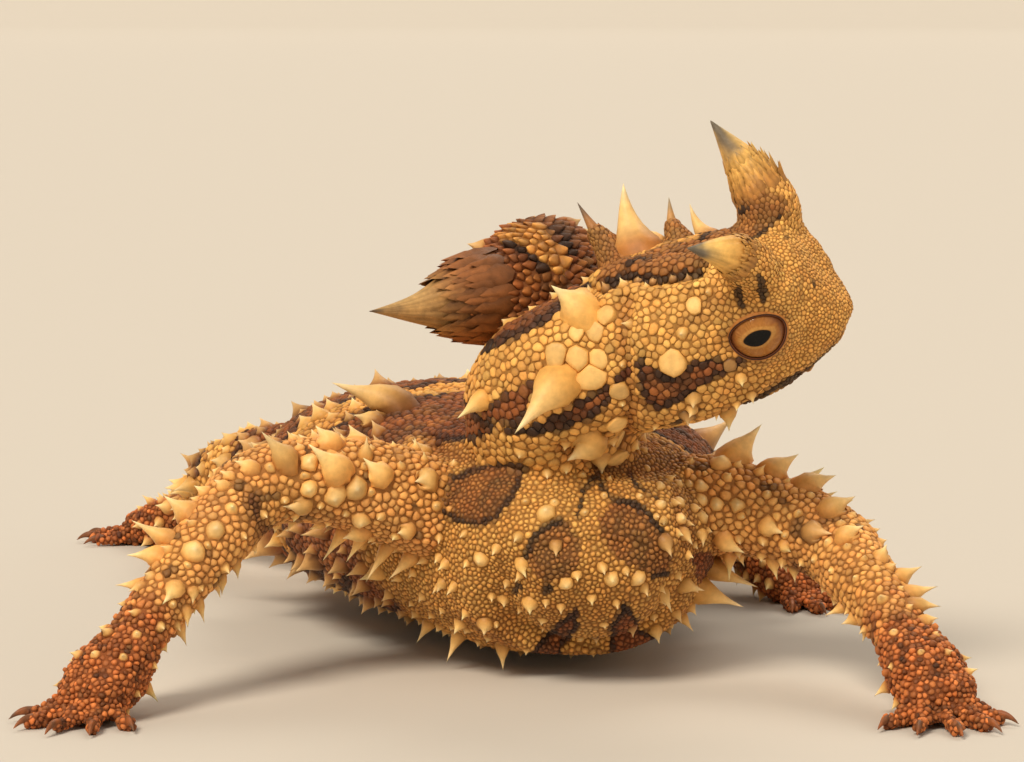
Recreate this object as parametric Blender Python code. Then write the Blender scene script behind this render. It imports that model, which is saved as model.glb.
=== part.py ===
"""A thorny devil at life size, standing on its four feet with its head turned to its left.

Sizes below are in millimetres and become metres where a mesh is made. The lizard faces -Y, its
tail runs toward +Y and the floor is the plane z = 0. Each body part is one closed solid. Flesh is
a tube through a few sections, and the spines are cones joined to it.
"""

import math
import random

import bmesh
import bpy
from mathutils import Vector

MM = 0.001
GAP = 0.3
SEED = 11
LONG_SPINE = 3.0
SIDES, FAT_SIDES, BIG_SIDES, FAT_FROM = 5, 6, 7, 1.5
SPINE_LEAN = 0.25
SINK, SINK_SHARE, SIGNATURE_SINK = 0.55, 0.3, 1.6
DOME_RING = 0.62
DOME_LEVEL = 0.72
WELD = 0.002
SOLVER = "MANIFOLD"

# Sections of the trunk and tail, front to back: centre x, y, z, half width, rise to the back, drop to the belly
BODY = (
    (6.6, -0.4, 9.6, 6.4, 4.4, 6.8),
    (6.2, 2.0, 11.0, 10.2, 6.8, 9.4),
    (4.8, 8.4, 12.2, 13.4, 8.6, 11.0),
    (2.6, 16.0, 12.4, 16.6, 9.4, 11.2),
    (-0.2, 27.0, 12.2, 20.4, 10.2, 11.0),
    (-3.0, 39.0, 11.8, 21.4, 10.4, 10.7),
    (-5.4, 50.0, 11.0, 17.2, 9.6, 9.8),
    (-7.2, 59.0, 10.2, 11.8, 8.2, 8.2),
    (-8.6, 66.5, 9.6, 8.8, 6.8, 6.8),
    (-9.8, 73.0, 9.2, 6.8, 5.8, 6.0),
    (-10.8, 82.0, 8.8, 5.8, 5.0, 5.2),
    (-10.6, 93.0, 8.2, 4.9, 4.3, 4.4),
    (-8.4, 104.0, 7.9, 4.1, 3.6, 3.6),
    (-4.2, 114.5, 8.0, 3.3, 2.9, 2.9),
    (1.8, 123.5, 8.8, 2.6, 2.3, 2.3),
    (9.0, 130.5, 10.4, 1.9, 1.8, 1.8),
    (15.4, 134.6, 12.4, 1.2, 1.2, 1.2),
    (18.4, 136.2, 13.6, 0.5, 0.5, 0.5),
)
TAIL_CUTS = (9.0, 11.4, 14.0)

# The head's own axes: forward to the snout, to its left, and up through its crown
SNOUT_TIP = Vector((27.8, -2.4, 32.3))
HEAD_FORWARD = Vector((0.941, -0.259, 0.218)).normalized()
HEAD_LEFT = (Vector((0.125, 0.865, 0.486))).normalized()
HEAD_UP = HEAD_FORWARD.cross(HEAD_LEFT).normalized()
# Head sections, back to front: distance from the snout tip, height of the middle, half width, rise, drop
HEAD = (
    (-19.6, 0.4, 7.0, 6.8, 6.4),
    (-17.0, 0.4, 7.6, 7.4, 6.4),
    (-13.5, 0.4, 7.6, 7.8, 6.2),
    (-10.0, 0.4, 6.9, 8.3, 5.9),
    (-7.0, 0.4, 6.0, 8.5, 5.7),
    (-4.4, 0.3, 4.9, 8.2, 5.1),
    (-2.0, 0.1, 3.7, 5.6, 3.6),
    (-0.4, 0.1, 2.5, 3.0, 2.2),
    (0.2, 0.1, 1.2, 1.1, 1.0),
)
HEAD_FULLNESS = 2.5
SNOUT_DOME = 0.3
# Neck sections from the head down into the trunk: centre, half width, rise, drop
NECK = (
    (3.9, 4.2, 26.4, 8.0, 7.4, 7.4),
    (2.9, 7.4, 22.2, 8.4, 7.6, 7.6),
    (3.2, 9.4, 19.2, 6.6, 6.2, 6.2),
    (3.3, 10.4, 17.2, 3.4, 3.2, 3.2),
)
NECK_LEAD = 1.2
NECK_SEAT = 0.6
NECK_UPS = ((-0.34, 0.30, 0.84), (-0.18, 0.66, 0.62), (-0.06, 0.92, 0.35), (-0.06, 0.92, 0.35))
TRUNK_UP = (0.0, 0.12, 1.0)

EYE_AT = (-6.4, 4.4, 2.9)
EYE_RADIUS = 2.35
LID_RADIUS = 2.45
LID_THICKNESS = 0.55
HORN_ROOT = (-5.8, 2.6, 6.9)
HORN_LOW = (-5.2, 3.9, 8.2)
HORN_MID = (-6.0, 5.3, 11.0)
HORN_TIPS = {-1: (-9.0, 7.4, 13.2), 1: (-7.6, 7.0, 15.8)}
HORN_WIDTH = 2.8
MOUTH_HEIGHT = -3.5
MOUTH_BACK = -11.6
MOUTH_WIDTH = 0.5
MOUTH_DEPTH = 0.6
NOSTRIL_AT = (-1.5, 1.9, 1.7)
NOSTRIL_RADIUS = 0.4
EAR_AT = (-17.2, 7.3, -0.6)
EAR_RADIUS = 0.8

# The knob on the nape, with its two great side spines
KNOB_ROOT = Vector((3.0, 8.4, 26.8))
KNOB_TOP = Vector((1.4, 15.0, 38.6))
KNOB_SIDE = Vector((0.80, 0.52, 0.02)).normalized()
KNOB_WIDTH = 6.4
KNOB_DEPTH = 4.8
KNOB_SPINE = 10.0
KNOB_SPINE_RADIUS = 3.0
KNOB_SINK = 1.2
KNOB_CLEAR = 7.2

# Limb sections from root to toes: centre, half width, rise, drop
ARM_RIGHT = (
    (-5.6, 6.6, 13.8, 4.5, 4.3, 4.4),
    (-10.4, 5.2, 15.6, 4.5, 4.5, 4.3),
    (-16.0, 3.2, 17.0, 3.8, 3.9, 3.6),
    (-21.4, 1.2, 16.6, 3.5, 3.6, 3.4),
    (-25.0, -3.2, 12.8, 3.2, 3.2, 3.0),
    (-28.4, -7.2, 8.8, 2.7, 2.6, 2.4),
    (-30.6, -9.4, 6.0, 3.0, 2.4, 2.4),
    (-32.8, -12.0, 3.4, 3.7, 2.7, 3.7),
    (-34.0, -14.2, 2.2, 3.1, 1.9, 2.4),
)
ARM_LEFT = (
    (11.8, 9.9, 13.1, 4.8, 4.6, 4.6),
    (16.6, 9.6, 14.0, 4.6, 4.7, 4.4),
    (22.4, 8.0, 13.2, 3.8, 4.0, 3.6),
    (27.0, 4.6, 11.6, 3.5, 3.6, 3.4),
    (29.2, -0.8, 9.6, 3.1, 3.2, 2.9),
    (30.8, -6.0, 7.4, 2.7, 2.6, 2.4),
    (32.2, -9.2, 5.6, 3.0, 2.4, 2.4),
    (33.6, -12.2, 3.4, 3.7, 2.7, 3.7),
    (34.2, -14.5, 2.2, 3.1, 1.9, 2.4),
)
# Hind leg sections: out from the middle of the hips, back along the trunk, height, then as above
LEG_BACK = (
    (3.0, 0.0, 10.2, 6.0, 5.6, 5.4),
    (9.6, 2.0, 10.6, 5.2, 5.2, 5.0),
    (15.6, 5.6, 10.8, 4.4, 4.4, 4.4),
    (19.4, 10.6, 9.8, 3.8, 3.8, 3.8),
    (20.8, 16.0, 7.6, 3.4, 3.4, 3.2),
    (21.6, 21.0, 5.4, 2.8, 2.7, 2.5),
    (22.8, 23.8, 4.0, 3.0, 2.3, 2.4),
    (25.4, 26.8, 2.5, 3.7, 2.0, 2.8),
    (27.2, 28.4, 1.8, 3.1, 1.5, 2.0),
)
LEG_FORE = (
    (3.0, 0.0, 10.2, 6.0, 5.6, 5.4),
    (9.8, -2.2, 10.8, 5.2, 5.2, 5.0),
    (16.2, -4.8, 11.4, 4.4, 4.4, 4.4),
    (21.4, -8.0, 10.6, 3.8, 3.8, 3.8),
    (24.8, -11.6, 8.2, 3.4, 3.4, 3.2),
    (27.0, -15.0, 5.6, 2.8, 2.7, 2.5),
    (28.4, -17.2, 4.0, 3.0, 2.3, 2.4),
    (30.6, -20.4, 2.5, 3.7, 2.0, 2.8),
    (31.8, -22.6, 1.8, 3.1, 1.5, 2.0),
)
HIPS = Vector((-7.2, 59.0, 0.0))
HIPS_BACK = Vector((-0.18, 0.984, 0.0)).normalized()
BODY_FULLNESS = 2.35
CHEST_DOME = 2.2
# Signature spines of the head and the near side of the neck: root, tip and radius
CREST_SPINES = (
    ((8.8, 4.3, 35.8), (6.4, 5.9, 40.5), 1.5),
    ((10.4, 4.1, 36.7), (9.4, 5.7, 42.2), 1.9),
    ((13.7, 3.2, 37.0), (13.2, 4.6, 41.1), 1.2),
    ((16.4, 2.3, 37.9), (14.9, 3.5, 40.6), 0.9),
)
NECK_SPINES = (
    ((5.8, 1.1, 31.7), (3.4, -3.2, 34.0), 1.5),
    ((-0.8, 2.9, 24.5), (-4.4, -3.3, 23.4), 1.2),
    ((4.5, -1.0, 25.7), (0.6, -8.4, 23.0), 1.9),
    ((6.5, -1.6, 20.7), (4.6, -6.2, 19.5), 1.6),
)
LIMB_CUTS = (3.0, 5.6)
TOE_SPREAD = (-52, -27, -4, 20, 46)
TOE_LENGTHS = (3.6, 4.6, 5.0, 4.6, 3.4)
TOE_RADIUS = 0.85
TOE_STEPS = ((-1.2, 1.0), (0.35, 1.0), (0.8, 0.85), (1.0, 0.55))
TOE_ARCH, TOE_SINK = 0.5, 0.72
CLAW_LEVEL, CLAW_SHARE = 0.8, 0.62
CLAW_LENGTH = 1.9
CLAW_DROP = -0.22
FLOOR_HALF, FLOOR_DEPTH = 30.0, 5.0

# Spine tables. A place is t along the tube, degrees round it, length and radius
HEAD_PLACES = (
    (0.55, 146, 5.2, 1.7), (0.62, 118, 3.2, 1.2), (1.5, 138, 2.6, 1.0), (2.2, 112, 2.2, 0.9),
    (0.7, 176, 2.6, 1.1), (1.2, 206, 2.4, 1.0), (2.2, 218, 2.0, 0.9), (3.0, 224, 1.5, 0.75),
    (0.5, 222, 2.8, 1.1), (1.9, 196, 1.5, 0.8), (3.6, 210, 1.1, 0.6), (1.4, 98, 1.8, 0.9),
)
HEAD_SWEEP = 0.45
HORN_PLACES = ((1.9, 75, 1.3, 0.6), (2.25, 100, 1.1, 0.5), (1.7, 25, 1.1, 0.55), (1.7, 150, 1.1, 0.55))
HORN_SWEEP = 0.8
# Small points of the knob: across, round and up its surface, then length
KNOB_PLACES = ((0.7, 0.3, 2.4), (-0.7, 0.5, 2.2), (0.4, 0.9, 2.0), (-0.3, 1.2, 1.8))
KNOB_OUT = 0.75
NECK_PLACES = (
    (0.9, 190, 2.2), (1.35, 214, 2.8), (1.9, 165, 3.6), (1.95, 236, 2.2), (1.2, 250, 1.6), (0.9, -8, 3.4),
    (1.7, -20, 4.4), (1.3, 14, 4.6), (1.3, -52, 2.4), (2.0, -60, 2.0), (1.9, 300, 1.8), (1.1, 285, 1.6),
)
SPINE_SLENDER = 0.42
# Rows along the trunk: degrees from the flank up to the back, length, radius
TRUNK_ROWS = ((90, 3.0, 1.25), (66, 4.2, 1.5), (42, 4.8, 1.6), (18, 5.0, 1.7), (-4, 6.6, 2.1), (-26, 3.4, 1.4))
TRUNK_RINGS = 8
TRUNK_FIRST, TRUNK_STEP, TRUNK_STAGGER = 1.6, 0.95, 0.38
TRUNK_SMALL, TRUNK_NARROW, TRUNK_NARROW_FROM = 0.72, 0.8, 6
TRUNK_SWEEP = 0.35
CHEST_RINGS = (0.55, 0.9, 1.3)
CHEST_DEGREES = (-20, -50, -76, -104, -130, -160, 20, 160)
CHEST_TURN, CHEST_LENGTH, CHEST_RADIUS = 11, 1.5, 0.75
# Rings of each length of a limb: t, then the length and radius of its spines
LIMB_RINGS = (
    ((1.55, 3.6, 1.5), (2.1, 3.4, 1.45), (2.6, 3.0, 1.3)),
    ((3.45, 2.8, 1.2), (4.15, 2.5, 1.05), (4.85, 2.1, 0.95)),
    ((6.05, 1.5, 0.75),),
)
LIMB_DEGREES = (8, 52, 96, 140, 184)
LIMB_TURNS = (-8, 16)
LIMB_SMALL, LIMB_SWEEP = 0.75, 0.2
TAIL_RINGS = ((9.45, 10.15, 10.85), (11.85, 12.5, 13.15, 13.65), (14.4, 15.0, 15.6, 16.2))
TAIL_SPINES = (4.4, 3.5, 2.3)
TAIL_DEGREES = (-14, 26, 66, 106, 146, 186)
TAIL_TURN, TAIL_SMALL, TAIL_SHRINK, TAIL_SWEEP = 14, 0.78, 0.06, 0.45

# Clearances kept between a spine and what it doesn't belong to
LEAST_HEIGHT = 0.6
CLEAR_LIMB, CLEAR_NECK, CLEAR_TRUNK, CLEAR_NEAR = 1.5, 1.0, 1.6, 0.6

# How finely the flesh is divided: lengthwise and round
HEAD_GRID, NECK_GRID, TRUNK_GRID, HORN_GRID = (16, 20), (12, 18), (18, 24), (8, 9)
LIMB_GRID = ((7, 12), (6, 12), (6, 12))
TAIL_GRID = ((7, 16), (7, 14), (8, 12))
BALL_GRID, PIT_GRID, EYE_GRID = (9, 14), (5, 8), (9, 12)
LID_GRID = (14, 5)
BOX_FACES = ((0, 1, 3, 2), (4, 6, 7, 5), (0, 4, 5, 1), (2, 3, 7, 6), (0, 2, 6, 4), (1, 5, 7, 3))

# Colours of the solids, as linear values
SAND = (0.62, 0.40, 0.16)
RUST = (0.30, 0.12, 0.045)
CREAM = (0.78, 0.62, 0.34)
AMBER = (0.42, 0.20, 0.05)
DUST = (0.42, 0.16, 0.06)


def clear_scene():
    """Take away whatever the start-up file holds."""
    for item in list(bpy.data.objects):
        bpy.data.objects.remove(item, do_unlink=True)


def blend(a, b, c, d, u):
    """Pass a smooth curve through b and c, with a and d as their neighbours."""
    return 0.5 * (2 * b + (c - a) * u + (2 * a - 5 * b + 4 * c - d) * u * u
                  + (3 * b - a - 3 * c + d) * u ** 3)


class Tube:
    """Flesh as a smooth run of oval sections, with its length counted in sections."""

    def __init__(self, stations, ups=(TRUNK_UP,), fullness=2.0):
        self.stations = [tuple(s) for s in stations]
        self.ups = [Vector(u) for u in ups]
        if len(self.ups) == 1:
            self.ups = self.ups * len(self.stations)
        self.fullness = fullness
        self.last = len(self.stations) - 1

    def values(self, t):
        """Give the centre, half width, rise and drop at t."""
        t = min(max(t, 0.0), float(self.last))
        i = min(int(t), self.last - 1)
        s = self.stations
        four = [s[max(i - 1, 0)], s[i], s[i + 1], s[min(i + 2, self.last)]]
        v = [blend(*(k[n] for k in four), t - i) for n in range(6)]
        return Vector(v[:3]), v[3], v[4], v[5]

    def frame(self, t):
        """Give the direction of travel, the side and the up of the section at t."""
        t = min(max(t, 0.0), float(self.last))
        ahead = self.values(t + 0.02)[0] - self.values(t - 0.02)[0]
        ahead.normalize()
        i = min(int(t), self.last - 1)
        part = t - i
        hint = self.ups[i].lerp(self.ups[i + 1], part)
        side = ahead.cross(hint).normalized()
        return ahead, side, side.cross(ahead).normalized()

    def point(self, t, angle, grow=0.0):
        """Give a point on the skin at t. Angle 0 is the side and 90 degrees is the top."""
        centre, wide, rise, drop = self.values(t)
        _, side, up = self.frame(t)
        c, s = math.cos(angle), math.sin(angle)
        power = 2.0 / self.fullness
        tall = rise if s >= 0 else drop
        a = math.copysign(abs(c) ** power, c) * (wide + grow)
        b = math.copysign(abs(s) ** power, s) * (tall + grow)
        return centre + side * a + up * b

    def normal(self, t, angle):
        """Give the outward direction of the skin at t and angle."""
        here = self.point(t, angle)
        along = self.point(t + 0.05, angle) - self.point(t - 0.05, angle)
        round_it = self.point(t, angle + 0.05) - self.point(t, angle - 0.05)
        out = along.cross(round_it)
        if out.dot(here - self.values(t)[0]) < 0:
            out.negate()
        return out.normalized()

    def holds(self, point, margin):
        """Say whether the point is inside the tube grown by the margin."""
        best, at = 1e9, 0.0
        for k in range(4 * self.last + 1):
            far = (self.values(k / 4)[0] - point).length
            if far < best:
                best, at = far, k / 4
        for t in (at - 0.15, at, at + 0.15):
            centre, wide, rise, drop = self.values(t)
            ahead, side, up = self.frame(t)
            off = point - centre
            tall = rise if off.dot(up) >= 0 else drop
            run = off.dot(ahead) / max(wide + margin, 0.1)
            a, b = off.dot(side) / (wide + margin), off.dot(up) / (tall + margin)
            if a * a + b * b + 0.8 * run * run < 1.0:
                return True
        return False


def mesh_from(name, points, faces):
    """Make a closed mesh object from points in millimetres."""
    data = bpy.data.meshes.new(name)
    data.from_pydata([tuple(Vector(p) * MM) for p in points], [], faces)
    shell = bmesh.new()
    shell.from_mesh(data)
    bmesh.ops.recalc_face_normals(shell, faces=shell.faces)
    shell.to_mesh(data)
    shell.free()
    data.shade_smooth()
    item = bpy.data.objects.new(name, data)
    bpy.context.scene.collection.objects.link(item)
    return item


def rings_to_mesh(name, rings, start=None, end=None):
    """Skin a list of equal rings, closed by a flat face or by a point at each end."""
    count = len(rings[0])
    points = [p for ring in rings for p in ring]
    faces = []
    for r in range(len(rings) - 1):
        for k in range(count):
            n = (k + 1) % count
            faces.append((r * count + k, r * count + n, (r + 1) * count + n, (r + 1) * count + k))
    for tip, base in ((start, 0), (end, (len(rings) - 1) * count)):
        if tip is None:
            faces.append(tuple(base + k for k in range(count)))
        else:
            points.append(tip)
            faces += [(base + k, base + (k + 1) % count, len(points) - 1) for k in range(count)]
    return mesh_from(name, points, faces)


def flesh(name, tube, t0, t1, steps, count, grow=0.0, open0=0.0, open1=0.0, dome0=0.0, dome1=0.0):
    """Make a length of a tube. open0 and open1 move its end faces inward, and a dome rounds one."""
    rings, tips = [], [None, None]
    for k in range(steps + 1):
        t = t0 + (t1 - t0) * k / steps
        move = tube.frame(t)[0] * ((open0 if k == 0 else 0.0) - (open1 if k == steps else 0.0))
        rings.append([tube.point(t, math.tau * (n + 0.5) / count, grow) + move
                      for n in range(count)])
    for end, (t, dome) in enumerate(((t0, -dome0), (t1, dome1))):
        if dome:
            middle, ahead = tube.values(t)[0], tube.frame(t)[0]
            cap = [middle + (p - middle) * DOME_RING + ahead * dome * DOME_LEVEL for p in rings[-end]]
            rings.insert(len(rings) * end, cap)
            tips[end] = middle + ahead * dome
    return rings_to_mesh(name, rings, *tips)


def spine(root, out, length, radius, sides=5, lean=None, sink=0.7):
    """Make one pointed cone with a slightly hollow flank and a root under the skin."""
    out = Vector(out).normalized()
    side = out.cross(Vector((0.31, 0.52, 0.79))).normalized()
    other = out.cross(side)
    lean = Vector(lean) if lean is not None else Vector((0.0, 0.0, 0.0))
    rings = []
    steps = ((-sink, 1.05, 0.0), (0.42 * length, 0.5, 0.18))
    for height, wide, bend in steps if length > LONG_SPINE else steps[:1]:
        middle = Vector(root) + out * height + lean * bend * length
        rings.append([middle + (side * math.cos(math.tau * k / sides)
                                + other * math.sin(math.tau * k / sides)) * radius * wide
                      for k in range(sides)])
    tip = Vector(root) + out * length + lean * length * 0.42
    return rings_to_mesh("spine", rings, end=tip)


def apply_modifiers(item):
    """Replace the object's mesh by its finished form."""
    depsgraph = bpy.context.evaluated_depsgraph_get()
    done = bpy.data.meshes.new_from_object(item.evaluated_get(depsgraph))
    item.modifiers.clear()
    item.data = done


def combine(item, pieces, kind):
    """Join or cut a set of closed pieces with the item in one step."""
    if not pieces:
        return
    group = bpy.data.collections.new(item.name + "_" + kind.lower())
    for piece in pieces:
        for home in list(piece.users_collection):
            home.objects.unlink(piece)
        group.objects.link(piece)
    step = item.modifiers.new(kind, "BOOLEAN")
    step.operation = kind
    step.operand_type = "COLLECTION"
    step.collection = group
    step.solver = SOLVER
    bpy.context.view_layer.update()
    apply_modifiers(item)
    for piece in pieces:
        bpy.data.objects.remove(piece, do_unlink=True)
    bpy.data.collections.remove(group)


def keep_largest(item):
    """Weld close points and keep only the largest closed surface."""
    shell = bmesh.new()
    shell.from_mesh(item.data)
    bmesh.ops.remove_doubles(shell, verts=shell.verts, dist=WELD * MM)
    bmesh.ops.triangulate(shell, faces=shell.faces)
    left, groups = set(shell.faces), []
    while left:
        seed = left.pop()
        found, stack = [seed], [seed]
        while stack:
            for edge in stack.pop().edges:
                for face in edge.link_faces if len(edge.link_faces) == 2 else ():
                    if face in left:
                        left.discard(face)
                        found.append(face)
                        stack.append(face)
        groups.append(found)
    groups.sort(key=lambda g: -sum(f.calc_area() for f in g))
    for group in groups[1:]:
        bmesh.ops.delete(shell, geom=group, context="FACES")
    open_edges = [e for e in shell.edges if len(e.link_faces) == 1]
    if open_edges:
        bmesh.ops.holes_fill(shell, edges=open_edges, sides=0)
        bmesh.ops.triangulate(shell, faces=shell.faces)
    loose = [v for v in shell.verts if not v.link_faces]
    bmesh.ops.delete(shell, geom=loose, context="VERTS")
    bmesh.ops.recalc_face_normals(shell, faces=shell.faces)
    shell.to_mesh(item.data)
    shell.free()


def material(name, colour, rough):
    """Make a plain finish for one body part."""
    made = bpy.data.materials.new(name)
    made.use_nodes = True
    shader = made.node_tree.nodes["Principled BSDF"]
    shader.inputs["Base Color"].default_value = (*colour, 1.0)
    shader.inputs["Roughness"].default_value = rough
    return made


class Spines:
    """Sets spines on a tube, keeping them clear of the other body parts."""

    def __init__(self, seed):
        self.chance = random.Random(seed)

    def clear(self, points, others, ends=(), balls=()):
        """Say whether all points keep off the floor, the tubes, the end planes and the knob."""
        for point in points:
            if any((point - ball).length < KNOB_CLEAR for ball in balls):
                return False
            if point.z < LEAST_HEIGHT:
                return False
            if any((point - place).dot(inward) < GAP for place, inward in ends):
                return False
            if any(tube.holds(point, margin) for tube, margin in others):
                return False
        return True

    def on(self, tube, places, others=(), sweep=0.25, backward=1.0, ends=(), balls=()):
        """Make a spine at each place: t, angle in degrees, length, radius."""
        made = []
        for t, degrees, length, radius in places:
            t += self.chance.uniform(-0.04, 0.04)
            angle = math.radians(degrees + self.chance.uniform(-3, 3))
            length *= self.chance.uniform(0.88, 1.12)
            root, out = tube.point(t, angle), tube.normal(t, angle)
            along = tube.frame(t)[0] * backward
            out = (out + along * sweep).normalized()
            tip = root + out * length
            edge = along * radius
            test = [root, root + out * length * 0.5, tip + along * 0.4, root + edge, root - edge]
            if self.clear(test, others, ends, balls):
                sides = FAT_SIDES if radius > FAT_FROM else SIDES
                made.append(spine(root, out, length, radius, sides, along * SPINE_LEAN,
                                  SINK + SINK_SHARE * radius))
        return made


def leg_rows(side):
    """Lay out one hind leg from the hips: the right one trails, the left one reaches forward."""
    out = HIPS_BACK.cross(Vector((0.0, 0.0, 1.0))) * side
    rows = []
    for far, back, height, *sizes in LEG_FORE if side > 0 else LEG_BACK:
        place = HIPS + out * far + HIPS_BACK * back
        rows.append((place.x, place.y, height, *sizes))
    return rows


def head_place(forward, left, up):
    """Turn a place in the head's own axes into one in the room."""
    return SNOUT_TIP + HEAD_FORWARD * forward + HEAD_LEFT * left + HEAD_UP * up


def head_tube():
    """Make the head's tube, back to front."""
    rows = []
    for forward, middle, wide, rise, drop in HEAD:
        rows.append((*head_place(forward, 0.0, middle), wide, rise, drop))
    return Tube(rows, (HEAD_UP,), HEAD_FULLNESS)


def neck_tube():
    """Make the neck's tube, from the back of the head down into the trunk."""
    back = head_place(HEAD[0][0] + NECK_LEAD, 0.0, HEAD[0][1])
    first = (*back, *HEAD[0][2:])
    return Tube((first, *NECK), ((*HEAD_UP,), *NECK_UPS), HEAD_FULLNESS)


def end_planes(tube, t0, t1):
    """Give the planes that close a length of a tube, each with its inward direction."""
    return ((tube.values(t0)[0], tube.frame(t0)[0]), (tube.values(t1)[0], -tube.frame(t1)[0]))


def lid(centre, out, radius, thickness):
    """Make the thick rim round an eye."""
    out = out.normalized()
    side = out.cross(HEAD_UP).normalized()
    up = side.cross(out)
    around, across = LID_GRID
    points, faces = [], []
    for k in range(around):
        a = math.tau * k / around
        ray = side * math.cos(a) + up * math.sin(a) * 0.84
        for m in range(across):
            b = math.tau * m / across
            points.append(centre + ray * (radius + thickness * math.cos(b))
                          + out * thickness * math.sin(b))
    for k in range(around):
        for m in range(across):
            k2, m2 = (k + 1) % around, (m + 1) % across
            faces.append((k * across + m, k2 * across + m, k2 * across + m2, k * across + m2))
    return mesh_from("lid", points, faces)


def ball(name, centre, radius, rings=8, count=12, squash=(1.0, 1.0, 1.0), axes=None):
    """Make a rounded ball, drawn out along its own axes."""
    axes = axes or (Vector((1, 0, 0)), Vector((0, 1, 0)), Vector((0, 0, 1)))
    sets = []
    for r in range(1, rings):
        a = math.pi * r / rings
        sets.append([centre + axes[0] * math.sin(a) * math.cos(math.tau * k / count) * radius * squash[0]
                     + axes[1] * math.sin(a) * math.sin(math.tau * k / count) * radius * squash[1]
                     + axes[2] * math.cos(a) * radius * squash[2] for k in range(count)])
    top = centre + axes[2] * radius * squash[2]
    low = centre - axes[2] * radius * squash[2]
    return rings_to_mesh(name, sets, start=top, end=low)


def mouth_cutter(tube):
    """Make the thin band that cuts the mouth line round the muzzle."""
    cuts = []
    for side in (-1, 1):
        run = []
        for k in range(9):
            forward = MOUTH_BACK + (-1.0 - MOUTH_BACK) * k / 8
            t = next(i for i in range(len(HEAD) - 1) if HEAD[i + 1][0] >= forward)
            part = (forward - HEAD[t][0]) / (HEAD[t + 1][0] - HEAD[t][0])
            wide, drop = (HEAD[t][n] + (HEAD[t + 1][n] - HEAD[t][n]) * part for n in (2, 4))
            level = MOUTH_HEIGHT * min(1.0, 0.62 * drop / abs(MOUTH_HEIGHT))
            out = wide * (1 - min(abs(level / drop), 0.95) ** HEAD_FULLNESS) ** (1 / HEAD_FULLNESS)
            run.append((forward, side * out, level + 0.06 * (forward + 4.0) ** 2 * 0.12))
        cuts.append(run)
    line = cuts[0] + [(0.1, 0.0, cuts[0][-1][2])] + cuts[1][::-1]
    rings = []
    middle = (-7.0, 0.0, MOUTH_HEIGHT)
    for forward, left, level in line:
        away = Vector((forward - middle[0] + 3.0 if forward > -5 else 0.0, left, 0.0))
        away = Vector((max(0.0, 1 + forward / 4.0), math.copysign(1.0, left) if left else 0.0, 0.0))
        away.normalize()
        ring = []
        for far, lift in ((-MOUTH_DEPTH, -0.5), (1.6, -0.5), (1.6, 0.5), (-MOUTH_DEPTH, 0.5)):
            ring.append(head_place(forward + away.x * far, left + away.y * far,
                                   level + lift * MOUTH_WIDTH))
        rings.append(ring)
    return rings_to_mesh("mouth", rings)


def signature(rows, grow=0.0):
    """Make the named spines that give the head and neck their outline."""
    made = []
    for root, tip, radius in rows:
        out = Vector(tip) - Vector(root)
        made.append(spine(root, out, out.length + 2 * grow, radius + 1.5 * grow, BIG_SIDES,
                          sink=SIGNATURE_SINK + grow))
    return made


def build_head(tube, neck, spines):
    """Make the head with lids, mouth line, nostrils, ear pits and its spines."""
    head = flesh("head", tube, 0.0, tube.last, *HEAD_GRID, dome1=SNOUT_DOME)
    joined = []
    for side in (-1, 1):
        centre = head_place(EYE_AT[0], side * EYE_AT[1], EYE_AT[2])
        out = HEAD_LEFT * side + HEAD_UP * 0.22 + HEAD_FORWARD * 0.22
        out.normalize()
        joined.append(lid(centre + out * 1.35, out, LID_RADIUS, LID_THICKNESS))
    others = [(neck, CLEAR_NEAR), *[(horn_tube(side), CLEAR_NEAR) for side in (-1, 1)]]
    for t, degrees, length, radius in HEAD_PLACES:
        for angle in (degrees, 180 - degrees):
            joined += spines.on(tube, [(t, angle, length, radius)], others, HEAD_SWEEP, -1.0,
                                end_planes(tube, 0.0, tube.last)[:1])
    joined += signature(CREST_SPINES)
    combine(head, joined, "UNION")
    cuts = [mouth_cutter(tube)]
    for side in (-1, 1):
        centre = head_place(EYE_AT[0], side * EYE_AT[1], EYE_AT[2])
        cuts.append(ball("pit", centre, EYE_RADIUS + GAP, *BALL_GRID))
        cuts.append(horn_flesh(side, GAP))
        nose = head_place(NOSTRIL_AT[0], side * NOSTRIL_AT[1], NOSTRIL_AT[2])
        cuts.append(ball("nostril", nose, NOSTRIL_RADIUS, *PIT_GRID))
        ear = head_place(EAR_AT[0], side * EAR_AT[1], EAR_AT[2])
        cuts.append(ball("ear", ear, EAR_RADIUS, *PIT_GRID))
    combine(head, cuts, "DIFFERENCE")
    return head


def horn_tube(side):
    """Make the tube of one brow horn."""
    rows = []
    for place, wide in ((HORN_ROOT, 0.55), (HORN_LOW, 1.0), (HORN_MID, 0.68), (HORN_TIPS[side], 0.12)):
        centre = head_place(place[0], side * place[1], place[2])
        rows.append((*centre, HORN_WIDTH * wide, HORN_WIDTH * wide, HORN_WIDTH * wide))
    return Tube(rows, (tuple(HEAD_FORWARD),))


def horn_flesh(side, grow=0.0):
    """Make the plain horn of one side."""
    tube = horn_tube(side)
    return flesh("horn", tube, 0.0, tube.last, *HORN_GRID, grow, open0=-grow)


def build_horn(side, spines):
    """Make one brow horn with small points up its front."""
    name = "horn_left" if side > 0 else "horn_right"
    horn = horn_flesh(side)
    horn.name = name
    tube = horn_tube(side)
    combine(horn, spines.on(tube, HORN_PLACES, (), HORN_SWEEP), "UNION")
    return horn


def build_eye(side):
    """Make one eyeball."""
    centre = head_place(EYE_AT[0], side * EYE_AT[1], EYE_AT[2])
    out = HEAD_LEFT * side
    axes = (HEAD_FORWARD, HEAD_UP, out)
    return ball("eye_left" if side > 0 else "eye_right", centre, EYE_RADIUS, *EYE_GRID, axes=axes)


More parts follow.
